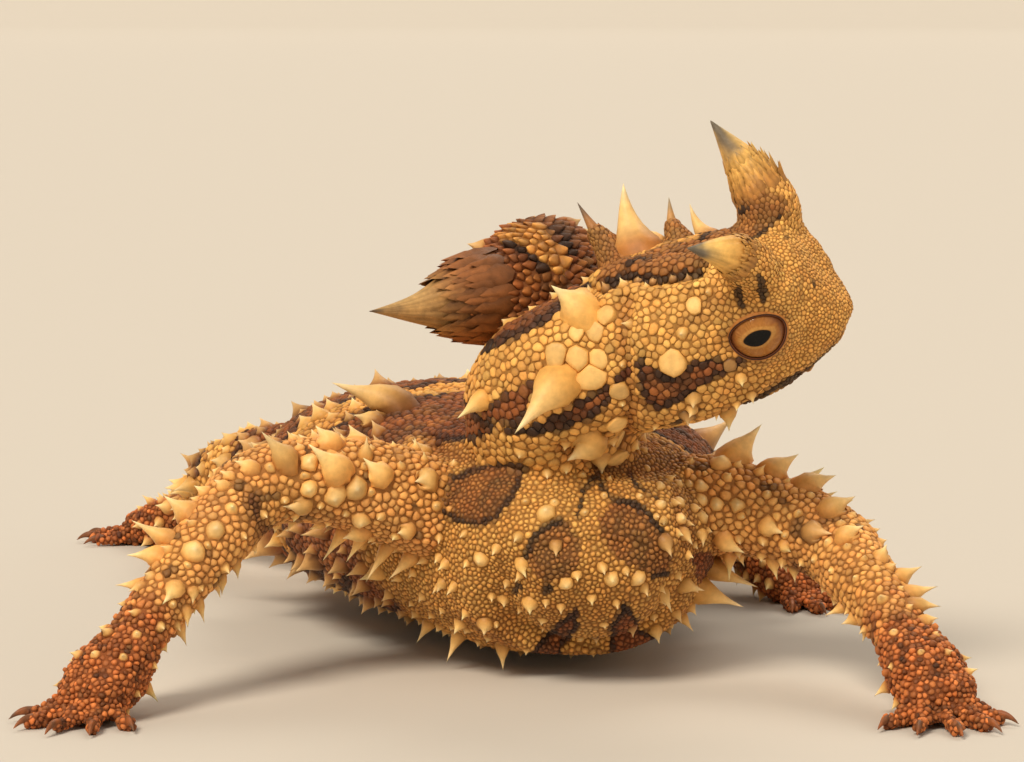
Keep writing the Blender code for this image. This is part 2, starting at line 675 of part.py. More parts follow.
def knob_flesh(grow=0.0):
    """Make the plain rounded knob of the nape."""
    along = (KNOB_TOP - KNOB_ROOT).normalized()
    deep = along.cross(KNOB_SIDE).normalized()
    middle = (KNOB_TOP + KNOB_ROOT) / 2
    long = (KNOB_TOP - KNOB_ROOT).length / 2
    return ball("nape_knob", middle, 1.0, *BALL_GRID,
                (KNOB_WIDTH + grow, KNOB_DEPTH + grow, long + grow), (KNOB_SIDE, deep, along))


def knob_surface(side_part, deep_part, up_part):
    """Give a point and its outward direction on the knob."""
    along = (KNOB_TOP - KNOB_ROOT).normalized()
    deep = along.cross(KNOB_SIDE).normalized()
    long = (KNOB_TOP - KNOB_ROOT).length / 2
    ray = Vector((side_part, deep_part, up_part)).normalized()
    point = ((KNOB_TOP + KNOB_ROOT) / 2 + KNOB_SIDE * ray.x * KNOB_WIDTH
             + deep * ray.y * KNOB_DEPTH + along * ray.z * long)
    out = KNOB_SIDE * ray.x / KNOB_WIDTH + deep * ray.y / KNOB_DEPTH + along * ray.z / long
    return point, out.normalized()


def knob_horn(side, grow=0.0):
    """Make one of the two great spines at the knob's sides."""
    root, _ = knob_surface(side, 0.0, -0.15)
    heading = (KNOB_SIDE * side + Vector((0.0, 0.0, -0.02))).normalized()
    root -= heading * KNOB_SINK
    radius = KNOB_SPINE_RADIUS + 1.5 * grow
    return spine(root, heading, KNOB_SPINE + 2 * grow, radius, BIG_SIDES, sink=KNOB_SINK)


def build_knob(spines, others):
    """Make the knob with its two great side spines and its small ones."""
    knob = knob_flesh()
    made = []
    for side in (-1, 1):
        made.append(knob_horn(side))
        for deep, high, length in KNOB_PLACES:
            root, out = knob_surface(side * KNOB_OUT, deep, high)
            if spines.clear([root, root + out * length], others):
                made.append(spine(root, out + KNOB_SIDE * side * SPINE_SLENDER, length, length * SPINE_SLENDER))
    combine(knob, made, "UNION")
    return knob


def head_plane():
    """Give the plane at the back of the head, facing the neck."""
    return head_place(HEAD[0][0], 0.0, 0.0), -HEAD_FORWARD


def head_block():
    """Make the block whose flat back faces the neck, one gap behind the head."""
    points = [head_place(HEAD[0][0] - GAP + far, left, up)
              for far in (0.0, 20.0) for left in (-15.0, 15.0) for up in (-15.0, 15.0)]
    return mesh_from("block", points, BOX_FACES)


def build_neck(tube, head, torso, spines):
    """Make the neck with its side spines and the seat of the knob."""
    neck = flesh("neck", tube, 0.0, tube.last, *NECK_GRID)
    places = [(t, degrees, length, SPINE_SLENDER * length) for t, degrees, length in NECK_PLACES]
    others = [(head, CLEAR_NEAR), (torso, CLEAR_NEAR)]
    knob = [KNOB_ROOT.lerp(KNOB_TOP, 0.55)]
    made = spines.on(tube, places, others, LIMB_SWEEP, ends=(head_plane(),), balls=knob)
    combine(neck, made + signature(NECK_SPINES), "UNION")
    cuts = [knob_flesh(GAP), knob_horn(-1, GAP), knob_horn(1, GAP), head_block()]
    combine(neck, cuts + signature(CREST_SPINES, GAP), "DIFFERENCE")
    return neck


def build_torso(tube, arms, legs, neck, spines):
    """Make the trunk with its rows of spines and the seats of neck and limbs."""
    end = TAIL_CUTS[0]
    torso = flesh("torso", tube, 0.0, end, *TRUNK_GRID, open1=GAP / 2, dome0=CHEST_DOME)
    places = []
    for k in range(TRUNK_RINGS):
        for n, (degrees, length, radius) in enumerate(TRUNK_ROWS):
            size = 1.0 if (k + n) % 2 == 0 else TRUNK_SMALL
            size *= TRUNK_NARROW if k >= TRUNK_NARROW_FROM else 1.0
            t = TRUNK_FIRST + TRUNK_STEP * k + (TRUNK_STAGGER if n % 2 else 0.0)
            if t < end - TRUNK_STAGGER:
                for angle in sorted({degrees, 180 - degrees}):
                    places.append((t, angle, length * size, radius * size))
    for k, t in enumerate(CHEST_RINGS):
        for degrees in CHEST_DEGREES:
            places.append((t, degrees + CHEST_TURN * (k % 2), CHEST_LENGTH, CHEST_RADIUS))
    others = [(neck, CLEAR_NECK)] + [(limb, CLEAR_LIMB) for limb in (*arms, *legs)]
    ends = end_planes(tube, 0.0, end)[1:]
    combine(torso, spines.on(tube, places, others, TRUNK_SWEEP, ends=ends), "UNION")
    cuts = [flesh("seat", limb, 0.0, LIMB_CUTS[0], *LIMB_GRID[0], GAP, open0=-GAP)
            for limb in (*arms, *legs)]
    cuts.append(flesh("seat", neck, NECK_SEAT, neck.last, *NECK_GRID, GAP, open1=-GAP))
    combine(torso, cuts, "DIFFERENCE")
    return torso


def toe(root, heading, length, size):
    """Make one toe that rests on the floor, with its claw."""
    rings = []
    for far, wide in TOE_STEPS:
        middle = Vector(root) + heading * (length * far if far > 0 else far)
        middle.z = size * TOE_SINK + (TOE_ARCH if far < 0.5 else 0.0)
        side = heading.cross(Vector((0, 0, 1))).normalized()
        rings.append([middle + side * math.cos(math.tau * k / 6) * size * wide
                      + Vector((0, 0, 1)) * math.sin(math.tau * k / 6) * size * wide
                      for k in range(6)])
    digit = rings_to_mesh("toe", rings)
    tip = Vector(root) + heading * length * 0.9
    tip.z = size * CLAW_LEVEL
    claw_out = (heading + Vector((0, 0, CLAW_DROP))).normalized()
    claw = spine(tip, claw_out, CLAW_LENGTH, size * CLAW_SHARE, SIDES, sink=SINK)
    return [digit, claw]


def build_limb(tube, names, spread_sign, torso, others, spines, hind):
    """Make the three lengths of one limb, the last with its toes."""
    cuts = (0.0, *LIMB_CUTS, float(tube.last))
    made = []
    for k, name in enumerate(names):
        last = k == 2
        item = flesh(name, tube, cuts[k], cuts[k + 1], *LIMB_GRID[k],
                     open0=0.0 if k == 0 else GAP / 2, open1=0.0 if last else GAP / 2)
        places = []
        for n, (t, length, radius) in enumerate(LIMB_RINGS[k]):
            for m, degrees in enumerate(LIMB_DEGREES):
                size = 1.0 if (m + n) % 2 == 0 else LIMB_SMALL
                places.append((t, degrees + LIMB_TURNS[n % 2], length * size, radius * size))
        clear = [(torso, CLEAR_TRUNK)] + [(other, CLEAR_NEAR) for other in others]
        pieces = spines.on(tube, places, clear, LIMB_SWEEP, ends=end_planes(tube, cuts[k], cuts[k + 1]))
        if last:
            centre, wide, _, _ = tube.values(tube.last - 0.9)
            ahead = tube.frame(tube.last - 0.6)[0]
            ahead.z = 0.0
            ahead.normalize()
            for degrees, length in zip(TOE_SPREAD, TOE_LENGTHS):
                turn = math.radians(degrees * spread_sign * (0.8 if hind else 1.0))
                heading = Vector((ahead.x * math.cos(turn) - ahead.y * math.sin(turn),
                                  ahead.x * math.sin(turn) + ahead.y * math.cos(turn), 0.0))
                root = centre + heading * wide * 0.75
                grow = 1.15 if hind else 1.0
                pieces += toe(root, heading, length * grow, TOE_RADIUS)
        combine(item, pieces, "UNION")
        if last:
            low = Vector((tube.values(tube.last)[0].x, tube.values(tube.last)[0].y, -FLOOR_DEPTH))
            combine(item, [box("floor", low, FLOOR_HALF, FLOOR_DEPTH)], "DIFFERENCE")
        made.append(item)
    return made


def box(name, centre, half, tall):
    """Make a plain box round a centre, to trim soles flat."""
    points = [centre + Vector((a * half, b * half, c * tall))
              for a in (-1, 1) for b in (-1, 1) for c in (-1, 1)]
    return mesh_from(name, points, BOX_FACES)


def build_tail(tube, spines, others):
    """Make the tail in three lengths with its rings of spines."""
    made = []
    bounds = (*TAIL_CUTS, tube.last)
    for k, name in enumerate(("tail_base", "tail_middle", "tail_tip")):
        last = k == 2
        item = flesh(name, tube, bounds[k], bounds[k + 1], *TAIL_GRID[k],
                     open0=GAP / 2, open1=0.0 if last else GAP / 2)
        places = []
        for n, t in enumerate(TAIL_RINGS[k]):
            for m, degrees in enumerate(TAIL_DEGREES):
                size = (1.0 if (m + n) % 2 == 0 else TAIL_SMALL) * (1 - TAIL_SHRINK * n)
                length = TAIL_SPINES[k] * size
                places.append((t, degrees + TAIL_TURN * (n % 2), length, SPINE_SLENDER * length))
        ends = end_planes(tube, bounds[k], bounds[k + 1])
        combine(item, spines.on(tube, places, others, TAIL_SWEEP, ends=ends), "UNION")
        made.append(item)
    return made


def settle(items):
    """Put the middle of the whole box over the origin, with its underside on the floor."""
    points = [v.co for item in items for v in item.data.vertices]
    low = [min(p[n] for p in points) for n in range(3)]
    high = [max(p[n] for p in points) for n in range(3)]
    shift = Vector((-(low[0] + high[0]) / 2, -(low[1] + high[1]) / 2, -low[2]))
    for item in items:
        for vertex in item.data.vertices:
            vertex.co += shift
        item.data.update()


def finish_for(name):
    """Choose the plain colour of a body part."""
    if name.startswith("eye"):
        return AMBER, 0.25
    if name.startswith("horn"):
        return CREAM, 0.7
    if name.startswith("nape"):
        return RUST, 0.8
    if name.startswith(("hand", "foot")):
        return DUST, 0.9
    return SAND, 0.8


def main():
    """Build every body part in order."""
    clear_scene()
    spines = Spines(SEED)
    head, neck, torso = head_tube(), neck_tube(), Tube(BODY, fullness=BODY_FULLNESS)
    arm_up = (0.0, 0.35, 1.0)
    arms = [Tube(ARM_RIGHT, (arm_up,)), Tube(ARM_LEFT, (arm_up,))]
    legs = [Tube(leg_rows(-1), (arm_up,)), Tube(leg_rows(1), (arm_up,))]
    items = [build_head(head, neck, spines), build_horn(-1, spines), build_horn(1, spines),
             build_eye(-1), build_eye(1)]
    items.append(build_neck(neck, head, torso, spines))
    near = [(neck, CLEAR_NECK), (head, CLEAR_NEAR), (torso, CLEAR_NEAR)]
    items.append(build_knob(spines, near))
    items.append(build_torso(torso, arms, legs, neck, spines))
    items += build_tail(torso, spines, [(limb, CLEAR_NEAR) for limb in legs])
    for k, side in enumerate(("right", "left")):
        names = [f"upper_arm_{side}", f"forearm_{side}", f"hand_{side}"]
        sign = -1 if side == "right" else 1
        items += build_limb(arms[k], names, sign, torso, [neck, head], spines, False)
        names = [f"thigh_{side}", f"shin_{side}", f"foot_{side}"]
        items += build_limb(legs[k], names, sign, torso, [], spines, True)
    for item in items:
        keep_largest(item)
    settle(items)
    home = bpy.data.collections.new("thorny_devil")
    bpy.context.scene.collection.children.link(home)
    for item in items:
        for place in list(item.users_collection):
            place.objects.unlink(item)
        home.objects.link(item)
        colour, rough = finish_for(item.name)
        item.data.materials.clear()
        item.data.materials.append(material("skin_" + item.name, colour, rough))
        item.data.shade_smooth()


main()
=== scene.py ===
"""Looks of the thorny devil: skin, scales, spines, horns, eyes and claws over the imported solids.

Lengths in the tables are in millimetres in the maker's own room, where the lizard faces -Y and the
floor is z = 0. Places written as across and down are on the front plate: the picture seen from the
camera, 1024 wide and 762 tall, with 12 steps to the millimetre at the lizard's chest.
"""

import sys
import logging
import math
from dataclasses import dataclass, field
from enum import IntEnum

import bpy
import numpy as np
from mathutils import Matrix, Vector, kdtree


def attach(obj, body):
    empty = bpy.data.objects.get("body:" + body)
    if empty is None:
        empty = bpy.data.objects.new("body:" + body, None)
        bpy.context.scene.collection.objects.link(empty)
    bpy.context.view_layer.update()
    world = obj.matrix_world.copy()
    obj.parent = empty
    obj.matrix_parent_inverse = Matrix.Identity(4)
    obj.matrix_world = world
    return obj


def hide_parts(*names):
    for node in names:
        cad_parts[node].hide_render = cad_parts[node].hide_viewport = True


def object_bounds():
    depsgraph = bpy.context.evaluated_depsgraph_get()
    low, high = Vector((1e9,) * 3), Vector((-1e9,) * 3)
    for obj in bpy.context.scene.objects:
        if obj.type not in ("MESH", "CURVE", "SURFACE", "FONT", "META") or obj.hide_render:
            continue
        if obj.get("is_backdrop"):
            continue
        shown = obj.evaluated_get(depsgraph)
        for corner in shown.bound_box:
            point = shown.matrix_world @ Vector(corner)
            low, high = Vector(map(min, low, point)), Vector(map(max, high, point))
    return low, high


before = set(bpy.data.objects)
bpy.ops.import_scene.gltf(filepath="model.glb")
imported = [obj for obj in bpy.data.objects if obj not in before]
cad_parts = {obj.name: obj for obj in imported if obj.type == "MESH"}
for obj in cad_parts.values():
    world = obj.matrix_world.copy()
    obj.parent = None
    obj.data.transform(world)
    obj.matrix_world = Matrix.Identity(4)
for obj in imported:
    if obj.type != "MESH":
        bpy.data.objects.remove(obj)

LOG = logging.getLogger("thorny_devil")
Array = np.ndarray
MM = 0.001
SHIFT = np.array((3.10, -58.24, 0.0))
TAU = math.tau


class Kind(IntEnum):
    """The two shapes of raised scale."""

    DOME = 0
    CONE = 1


class Part(IntEnum):
    """The lengths of flesh that the skin covers."""

    HEAD = 0
    NECK = 1
    TRUNK = 2
    KNOB = 3
    ARM_RIGHT = 4
    ARM_LEFT = 5
    LEG_RIGHT = 6
    LEG_LEFT = 7


ARMS = (Part.ARM_RIGHT, Part.ARM_LEFT)
LEGS = (Part.LEG_RIGHT, Part.LEG_LEFT)

# ---------------------------------------------------------------- tables
BODY = (
    (6.6, -0.4, 9.6, 6.4, 4.4, 6.8), (6.2, 2.0, 11.0, 10.2, 6.8, 9.4),
    (4.8, 8.4, 12.2, 13.4, 8.6, 11.0), (2.6, 16.0, 12.4, 16.6, 9.4, 11.2),
    (-0.2, 27.0, 12.2, 20.4, 10.2, 11.0), (-3.0, 39.0, 11.8, 21.4, 10.4, 10.7),
    (-5.4, 50.0, 11.0, 17.2, 9.6, 9.8), (-7.2, 59.0, 10.2, 11.8, 8.2, 8.2),
    (-8.6, 66.5, 9.6, 8.8, 6.8, 6.8), (-9.8, 73.0, 9.2, 6.8, 5.8, 6.0),
    (-10.8, 82.0, 8.8, 5.8, 5.0, 5.2), (-10.6, 93.0, 8.2, 4.9, 4.3, 4.4),
    (-8.4, 104.0, 7.9, 4.1, 3.6, 3.6), (-4.2, 114.5, 8.0, 3.3, 2.9, 2.9),
    (1.8, 123.5, 8.8, 2.6, 2.3, 2.3), (9.0, 130.5, 10.4, 1.9, 1.8, 1.8),
    (15.4, 134.6, 12.4, 1.2, 1.2, 1.2), (18.4, 136.2, 13.6, 0.5, 0.5, 0.5),
)
BODY_FULLNESS = 2.35
TRUNK_UP = (0.0, 0.12, 1.0)
SNOUT_TIP = np.array((27.8, -2.4, 32.3))
HEAD = (
    (-19.6, 0.4, 7.0, 6.8, 6.4), (-17.0, 0.4, 7.6, 7.4, 6.4), (-13.5, 0.4, 7.6, 7.8, 6.2),
    (-10.0, 0.4, 6.9, 8.3, 5.9), (-7.0, 0.4, 6.0, 8.5, 5.6), (-4.4, 0.3, 4.9, 8.2, 4.7),
    (-2.0, 0.1, 3.7, 5.6, 2.9), (-0.5, 0.1, 2.5, 3.0, 1.6), (0.0, 0.1, 1.2, 1.1, 0.7),
)
HEAD_FULLNESS = 2.5
NECK = (
    (4.3, 4.2, 26.2, 7.3, 5.9, 7.2), (3.4, 7.4, 22.2, 7.5, 6.0, 7.4),
    (3.2, 9.4, 19.2, 6.4, 5.6, 6.0), (3.3, 10.4, 17.2, 3.2, 3.0, 3.0),
)
NECK_UPS = ((-0.34, 0.30, 0.84), (-0.18, 0.66, 0.62), (-0.06, 0.92, 0.35), (-0.06, 0.92, 0.35))
ARM_UP = (0.0, 0.35, 1.0)
ARM_RIGHT = (
    (-5.6, 6.6, 13.8, 4.5, 4.3, 4.4), (-10.4, 5.2, 15.6, 4.5, 4.5, 4.3),
    (-16.0, 3.2, 17.0, 3.8, 3.9, 3.6), (-21.4, 1.2, 16.6, 3.5, 3.6, 3.4),
    (-25.0, -3.2, 12.8, 3.2, 3.2, 3.0), (-28.4, -7.2, 8.8, 2.7, 2.6, 2.4),
    (-30.6, -9.4, 6.0, 3.0, 2.4, 2.4), (-32.8, -12.0, 3.4, 3.7, 2.7, 3.7),
    (-34.0, -14.2, 2.2, 3.1, 1.9, 2.4),
)
ARM_LEFT = (
    (11.8, 9.9, 13.1, 4.8, 4.6, 4.6), (16.6, 9.6, 14.0, 4.6, 4.7, 4.4),
    (22.4, 8.0, 13.2, 3.8, 4.0, 3.6), (27.0, 4.6, 11.6, 3.5, 3.6, 3.4),
    (29.2, -0.8, 9.6, 3.1, 3.2, 2.9), (30.8, -6.0, 7.4, 2.7, 2.6, 2.4),
    (32.2, -9.2, 5.6, 3.0, 2.4, 2.4), (33.6, -12.2, 3.4, 3.7, 2.7, 3.7),
    (34.2, -14.5, 2.2, 3.1, 1.9, 2.4),
)
LEG_BACK = (
    (3.0, 0.0, 10.2, 6.0, 5.6, 5.4), (9.6, 2.0, 10.6, 5.2, 5.2, 5.0),
    (15.6, 5.6, 10.8, 4.4, 4.4, 4.4), (19.4, 10.6, 9.8, 3.8, 3.8, 3.8),
    (20.8, 16.0, 7.6, 3.4, 3.4, 3.2), (21.6, 21.0, 5.4, 2.8, 2.7, 2.5),
    (22.8, 23.8, 4.0, 3.0, 2.3, 2.4), (25.4, 26.8, 2.5, 3.7, 2.0, 2.8),
    (27.2, 28.4, 1.8, 3.1, 1.5, 2.0),
)
LEG_FORE = (
    (3.0, 0.0, 10.2, 6.0, 5.6, 5.4), (9.8, -2.2, 10.8, 5.2, 5.2, 5.0),
    (16.2, -4.8, 11.4, 4.4, 4.4, 4.4), (21.4, -8.0, 10.6, 3.8, 3.8, 3.8),
    (24.8, -11.6, 8.2, 3.4, 3.4, 3.2), (27.0, -15.0, 5.6, 2.8, 2.7, 2.5),
    (28.4, -17.2, 4.0, 3.0, 2.3, 2.4), (30.6, -20.4, 2.5, 3.7, 2.0, 2.8),
    (31.8, -22.6, 1.8, 3.1, 1.5, 2.0),
)
HIPS = np.array((-7.2, 59.0, 0.0))
HIPS_BACK = np.array((-0.18, 0.984, 0.0))
TOE_SPREAD = (-52, -27, -4, 20, 46)
TOE_LENGTHS = (3.6, 4.6, 5.0, 4.6, 3.4)
TOE_RADIUS = 0.85
TAIL_FROM = 9.0

EYE_AT = (-6.7, 4.9, 2.9)
EYE_RADIUS = 2.35
LID_OPENING = (2.24, 1.80)
HORN_PATH = {-1: ((-5.9, 2.6, 6.3, 0.72), (-5.7, 3.9, 8.2, 0.80), (-6.7, 5.3, 10.6, 0.60)),
             1: ((-5.4, 2.6, 6.3, 0.84), (-4.8, 3.9, 8.2, 0.96), (-5.5, 5.4, 11.0, 0.74))}
HORN_TIPS = {-1: (-9.2, 7.5, 13.3, 0.03), 1: (-7.7, 7.1, 16.0, 0.03)}
HORN_WIDTH = 2.8
HORN_BOSS, KNOB_BOSS = 2.0, 1.9
# t given to the fleshy roots of horns, knob spines and crest spines, past that of their part
HORN_T, KNOB_T, CREST_T, CREST_FLOOR, ROOT_STEP = 8.2, 1.1, 10.8, 10.7, 1.2
BROWS = (((-4.3, 0.8, 3.5), (2.9, 3.0, 2.7)), ((-4.7, 3.5, 5.2), (2.6, 1.9, 2.5)),
         ((-4.9, -3.4, 5.0), (2.3, 1.7, 2.1)), ((-3.5, 2.2, 4.45), (2.3, 2.2, 2.15)),
         ((-2.5, 1.6, 3.3), (1.8, 2.1, 1.75)))
MOUTH_HEIGHT, MOUTH_BACK = -3.5, -11.6
NOSTRIL_AT = (-1.5, 1.9, 1.7)
EAR_AT = (-17.2, 7.3, -0.6)
KNOB_ROOT = np.array((3.0, 8.4, 26.8))
KNOB_TOP = np.array((1.4, 15.0, 38.6))
KNOB_SIDE = np.array((0.80, 0.52, 0.02))
KNOB_WIDTH, KNOB_DEPTH = 6.4, 4.8

# Crest spines placed in the room: root, tip, radius, how dark
GREAT_SPINES = (
    ((8.6, 4.3, 35.8), (5.5, 5.9, 40.6), 1.55, 0.9),
    ((10.7, 4.1, 36.6), (9.4, 5.7, 42.2), 2.15, 0.0),
    ((13.7, 3.2, 37.0), (13.2, 4.6, 41.1), 1.25, 0.6),
    ((16.6, 2.3, 37.7), (14.9, 3.5, 40.6), 1.05, 0.0),
)
# Share of the way up and width of the granular roots: rough spines, then smooth ones
CREST_ROOTS = (((-0.4, 1.5), (-0.1, 1.42), (0.1, 1.12), (0.25, 0.84), (0.4, 0.62), (0.55, 0.46)),
               ((-0.4, 1.1), (-0.2, 1.05), (-0.08, 0.95), (0.0, 0.8), (0.05, 0.6), (0.1, 0.3)))
# Spine places on a tube: t, degrees, length, radius
HEAD_PLACES = (
    (0.55, 146, 5.2, 1.7), (0.62, 118, 3.2, 1.2), (1.5, 138, 2.6, 1.0), (2.2, 112, 2.2, 0.9),
    (0.7, 176, 2.6, 1.1), (1.2, 206, 2.4, 1.0), (2.2, 218, 2.0, 0.9), (3.0, 224, 1.5, 0.75),
    (0.5, 222, 2.8, 1.1), (1.9, 196, 1.5, 0.8), (3.6, 210, 1.1, 0.6), (1.4, 98, 1.8, 0.9),
)
# Spines round the great ones of the knob: way across, deep and along, and length
KNOB_PLACES = ((0.75, 0.7, 0.3, 2.2), (0.75, -0.9, 0.5, 1.8), (0.75, 0.4, 0.9, 1.9), (0.75, -0.3, 1.2, 1.8),
               (0.9, -0.9, -0.5, 1.9), (0.4, -0.4, 1.2, 1.4))
NECK_PLACES = (
    (0.9, 190, 2.2), (1.35, 214, 2.8), (1.9, 165, 3.6), (1.95, 236, 2.2), (1.2, 250, 1.6), (0.9, -8, 3.4),
    (1.7, -20, 4.4), (1.3, 14, 4.6), (1.3, -52, 2.4), (2.0, -60, 2.0), (1.9, 300, 1.8), (1.1, 285, 1.6),
)
TRUNK_ROWS = ((90, 3.0, 1.25), (66, 4.2, 1.5), (42, 4.8, 1.6), (18, 5.0, 1.7), (-4, 6.6, 2.1), (-26, 3.4, 1.4))
TRUNK_RINGS, TRUNK_FIRST, TRUNK_STEP, TRUNK_STAGGER = 8, 1.6, 0.95, 0.38
LIMB_RINGS = ((1.55, 3.6, 1.5), (2.1, 3.4, 1.45), (2.6, 3.0, 1.3), (3.45, 2.8, 1.2), (4.15, 2.5, 1.05),
              (4.85, 2.1, 0.95), (6.05, 1.5, 0.75))
LIMB_DEGREES = (8, 52, 96, 140, 184)
TAIL_RINGS = ((9.45, 10.15, 10.85), (11.85, 12.5, 13.15, 13.65), (14.4, 15.0, 15.6, 16.2))
TAIL_SPINES = (4.4, 3.5, 2.3)
TAIL_DEGREES = (-14, 26, 66, 106, 146, 186)

# Spines read on the front plate: base across and down, tip across and down, radius
ARM_RIGHT_CONES = (
    (288, 461, 265, 434, 1.2), (332, 443, 317, 427, 1.0), (341, 471, 312, 446, 1.45), (367, 455, 367, 438, 0.65),
    (381, 476, 365, 459, 1.1), (306, 506, 284, 505, 0.8), (360, 533, 344, 538, 0.95), (322, 525, 310, 529, 0.5),
    (318, 539, 306, 544, 0.5), (336, 552, 324, 559, 0.6), (355, 555, 347, 561, 0.55), (379, 569, 367, 580, 0.6),
    (406, 565, 390, 578, 0.8), (408, 530, 398, 533, 0.75), (253, 469, 236, 461, 0.75), (230, 476, 221, 471, 0.5),
    (225, 486, 215, 480, 0.6), (204, 492, 195, 486, 0.65), (183, 508, 166, 497, 1.05), (151, 530, 135, 522, 0.85),
    (153, 552, 130, 555, 0.95), (175, 590, 163, 605, 0.8), (140, 587, 130, 591, 0.5), (194, 590, 193, 603, 0.5),
    (187, 610, 188, 626, 0.5), (205, 608, 204, 621, 0.45), (222, 580, 222, 594, 0.5), (237, 565, 238, 578, 0.5),
    (214, 531, 212, 532, 0.7), (356, 490, 355, 490, 1.0), (195, 552, 193, 553, 0.9), (308, 488, 306, 488, 0.7),
    (308, 463, 307, 462, 0.8), (336, 498, 331, 497, 0.75), (363, 520, 362, 520, 0.8),
)
ARM_LEFT_CONES = (
    (735, 452, 760, 426, 1.6), (772, 468, 797, 455, 1.3), (806, 483, 834, 476, 1.3), (830, 509, 853, 497, 1.1),
    (846, 535, 862, 526, 0.85), (813, 533, 837, 538, 0.95), (880, 557, 886, 545, 0.7), (900, 576, 920, 567, 0.8),
    (913, 590, 935, 587, 0.75), (915, 605, 938, 606, 0.75), (924, 620, 937, 618, 0.6), (767, 528, 784, 533, 0.8),
    (724, 541, 743, 552, 0.9), (771, 568, 777, 579, 0.6), (793, 572, 795, 582, 0.45), (727, 569, 729, 580, 0.6),
    (784, 546, 792, 551, 0.5), (835, 613, 826, 615, 0.5), (737, 505, 738, 505, 0.55), (719, 465, 718, 464, 0.9),
    (843, 624, 842, 624, 0.6), (700, 542, 704, 553, 0.5),
)
CHEST_CONES = (
    (662, 486, 662, 487, 0.42), (662, 504, 662, 505, 0.46), (663, 521, 664, 525, 0.40), (679, 484, 679, 485, 0.46),
    (680, 503, 680, 504, 0.52), (681, 519, 681, 521, 0.54), (683, 534, 692, 544, 0.62), (701, 486, 701, 487, 0.5),
    (703, 502, 703, 503, 0.54), (703, 518, 704, 520, 0.58), (701, 535, 703, 546, 0.5), (718, 506, 719, 507, 0.56),
    (427, 482, 414, 483, 1.0), (445, 563, 438, 570, 0.5), (442, 584, 437, 592, 0.5), (426, 632, 417, 642, 0.6),
    (461, 623, 454, 634, 0.65), (486, 623, 484, 635, 0.7), (452, 649, 447, 661, 0.65), (501, 652, 503, 669, 0.65),
    (555, 545, 556, 556, 0.55), (522, 565, 526, 577, 0.6), (566, 584, 567, 585, 0.6), (503, 598, 504, 607, 0.5),
    (529, 602, 530, 614, 0.7), (560, 607, 561, 614, 0.4), (611, 577, 611, 578, 0.6), (636, 577, 636, 578, 0.65),
    (664, 542, 671, 556, 0.7), (664, 591, 671, 611, 0.6), (632, 627, 633, 637, 0.4), (655, 630, 659, 643, 0.55),
    (687, 621, 693, 631, 0.5), (685, 584, 703, 590, 0.7), (696, 599, 719, 601, 0.6), (685, 530, 689, 541, 0.7),
    (546, 512, 546, 513, 0.75), (480, 560, 481, 561, 0.7),
)
BACK_CONES = ((398, 408, 333, 383, 2.0), (374, 421, 354, 415, 1.0), (424, 452, 413, 440, 0.8))
FLANK_CONES = ((716, 574, 755, 586, 1.0), (708, 592, 741, 606, 1.1), (694, 604, 714, 628, 0.8))
NECK_CONES = (
    (560, 381, 519, 428, 1.95), (580, 308, 554, 288, 1.6), (591, 442, 569, 459, 1.55), (483, 399, 459, 417, 0.85),
    (577, 359, 576, 359, 1.1), (592, 376, 591, 377, 1.15), (558, 353, 557, 353, 0.9), (599, 359, 599, 359, 0.85),
    (605, 316, 605, 316, 0.85), (594, 332, 594, 332, 0.8), (575, 334, 575, 334, 0.6), (619, 393, 619, 394, 0.7),
    (617, 422, 616, 423, 0.8), (619, 439, 618, 441, 0.85), (617, 458, 616, 464, 0.7), (568, 470, 566, 474, 0.45),
)
HEAD_CONES = (
    (671, 362, 669, 354, 1.0), (695, 304, 694, 303, 0.6), (741, 377, 742, 386, 0.5), (694, 398, 693, 408, 0.55),
    (727, 415, 729, 430, 0.7), (688, 416, 688, 425, 0.65), (751, 394, 753, 403, 0.4), (729, 367, 729, 368, 0.5),
    (640, 281, 638, 277, 0.4), (655, 282, 653, 278, 0.35), (622, 283, 620, 278, 0.4), (606, 288, 602, 282, 0.45),
    (672, 280, 671, 275, 0.35),
    (688, 279, 687, 274, 0.35), (592, 292, 588, 285, 0.4),
)

# Where the front plate shows open air behind the shoulders, so that spines stay short
OPEN_AIR = ((90, 330), (485, 330), (485, 352), (440, 380), (402, 392), (340, 412), (300, 428), (262, 433),
            (233, 460), (212, 478), (192, 484), (165, 494), (90, 520))
# Air and hollow behind the chin, without spines
BEHIND_CHIN = ((650, 376), (740, 376), (740, 440), (722, 458), (655, 462))
# Bare ground behind the neck, without spines
BARE_BACK = ((392, 386), (440, 374), (500, 348), (508, 452), (470, 468), (425, 458), (395, 432))
# How far back the bare places and the open air count, and how high up the bare back starts
BARE_DEPTH, AIR_DEPTH, BARE_HEIGHT = 40, 70, 8
# The front, above this line of the plate, carries only the spines that the plate names
PLATE_FOOT = 690
# Shape of a crest spine: share of the way up, and width
CREST_SHAPE = ((-0.25, 1.05), (-0.08, 1.0), (0.02, 0.95), (0.12, 0.86), (0.25, 0.62), (0.38, 0.46), (0.52, 0.335),
               (0.66, 0.23), (0.80, 0.135), (0.91, 0.065), (0.97, 0.025))

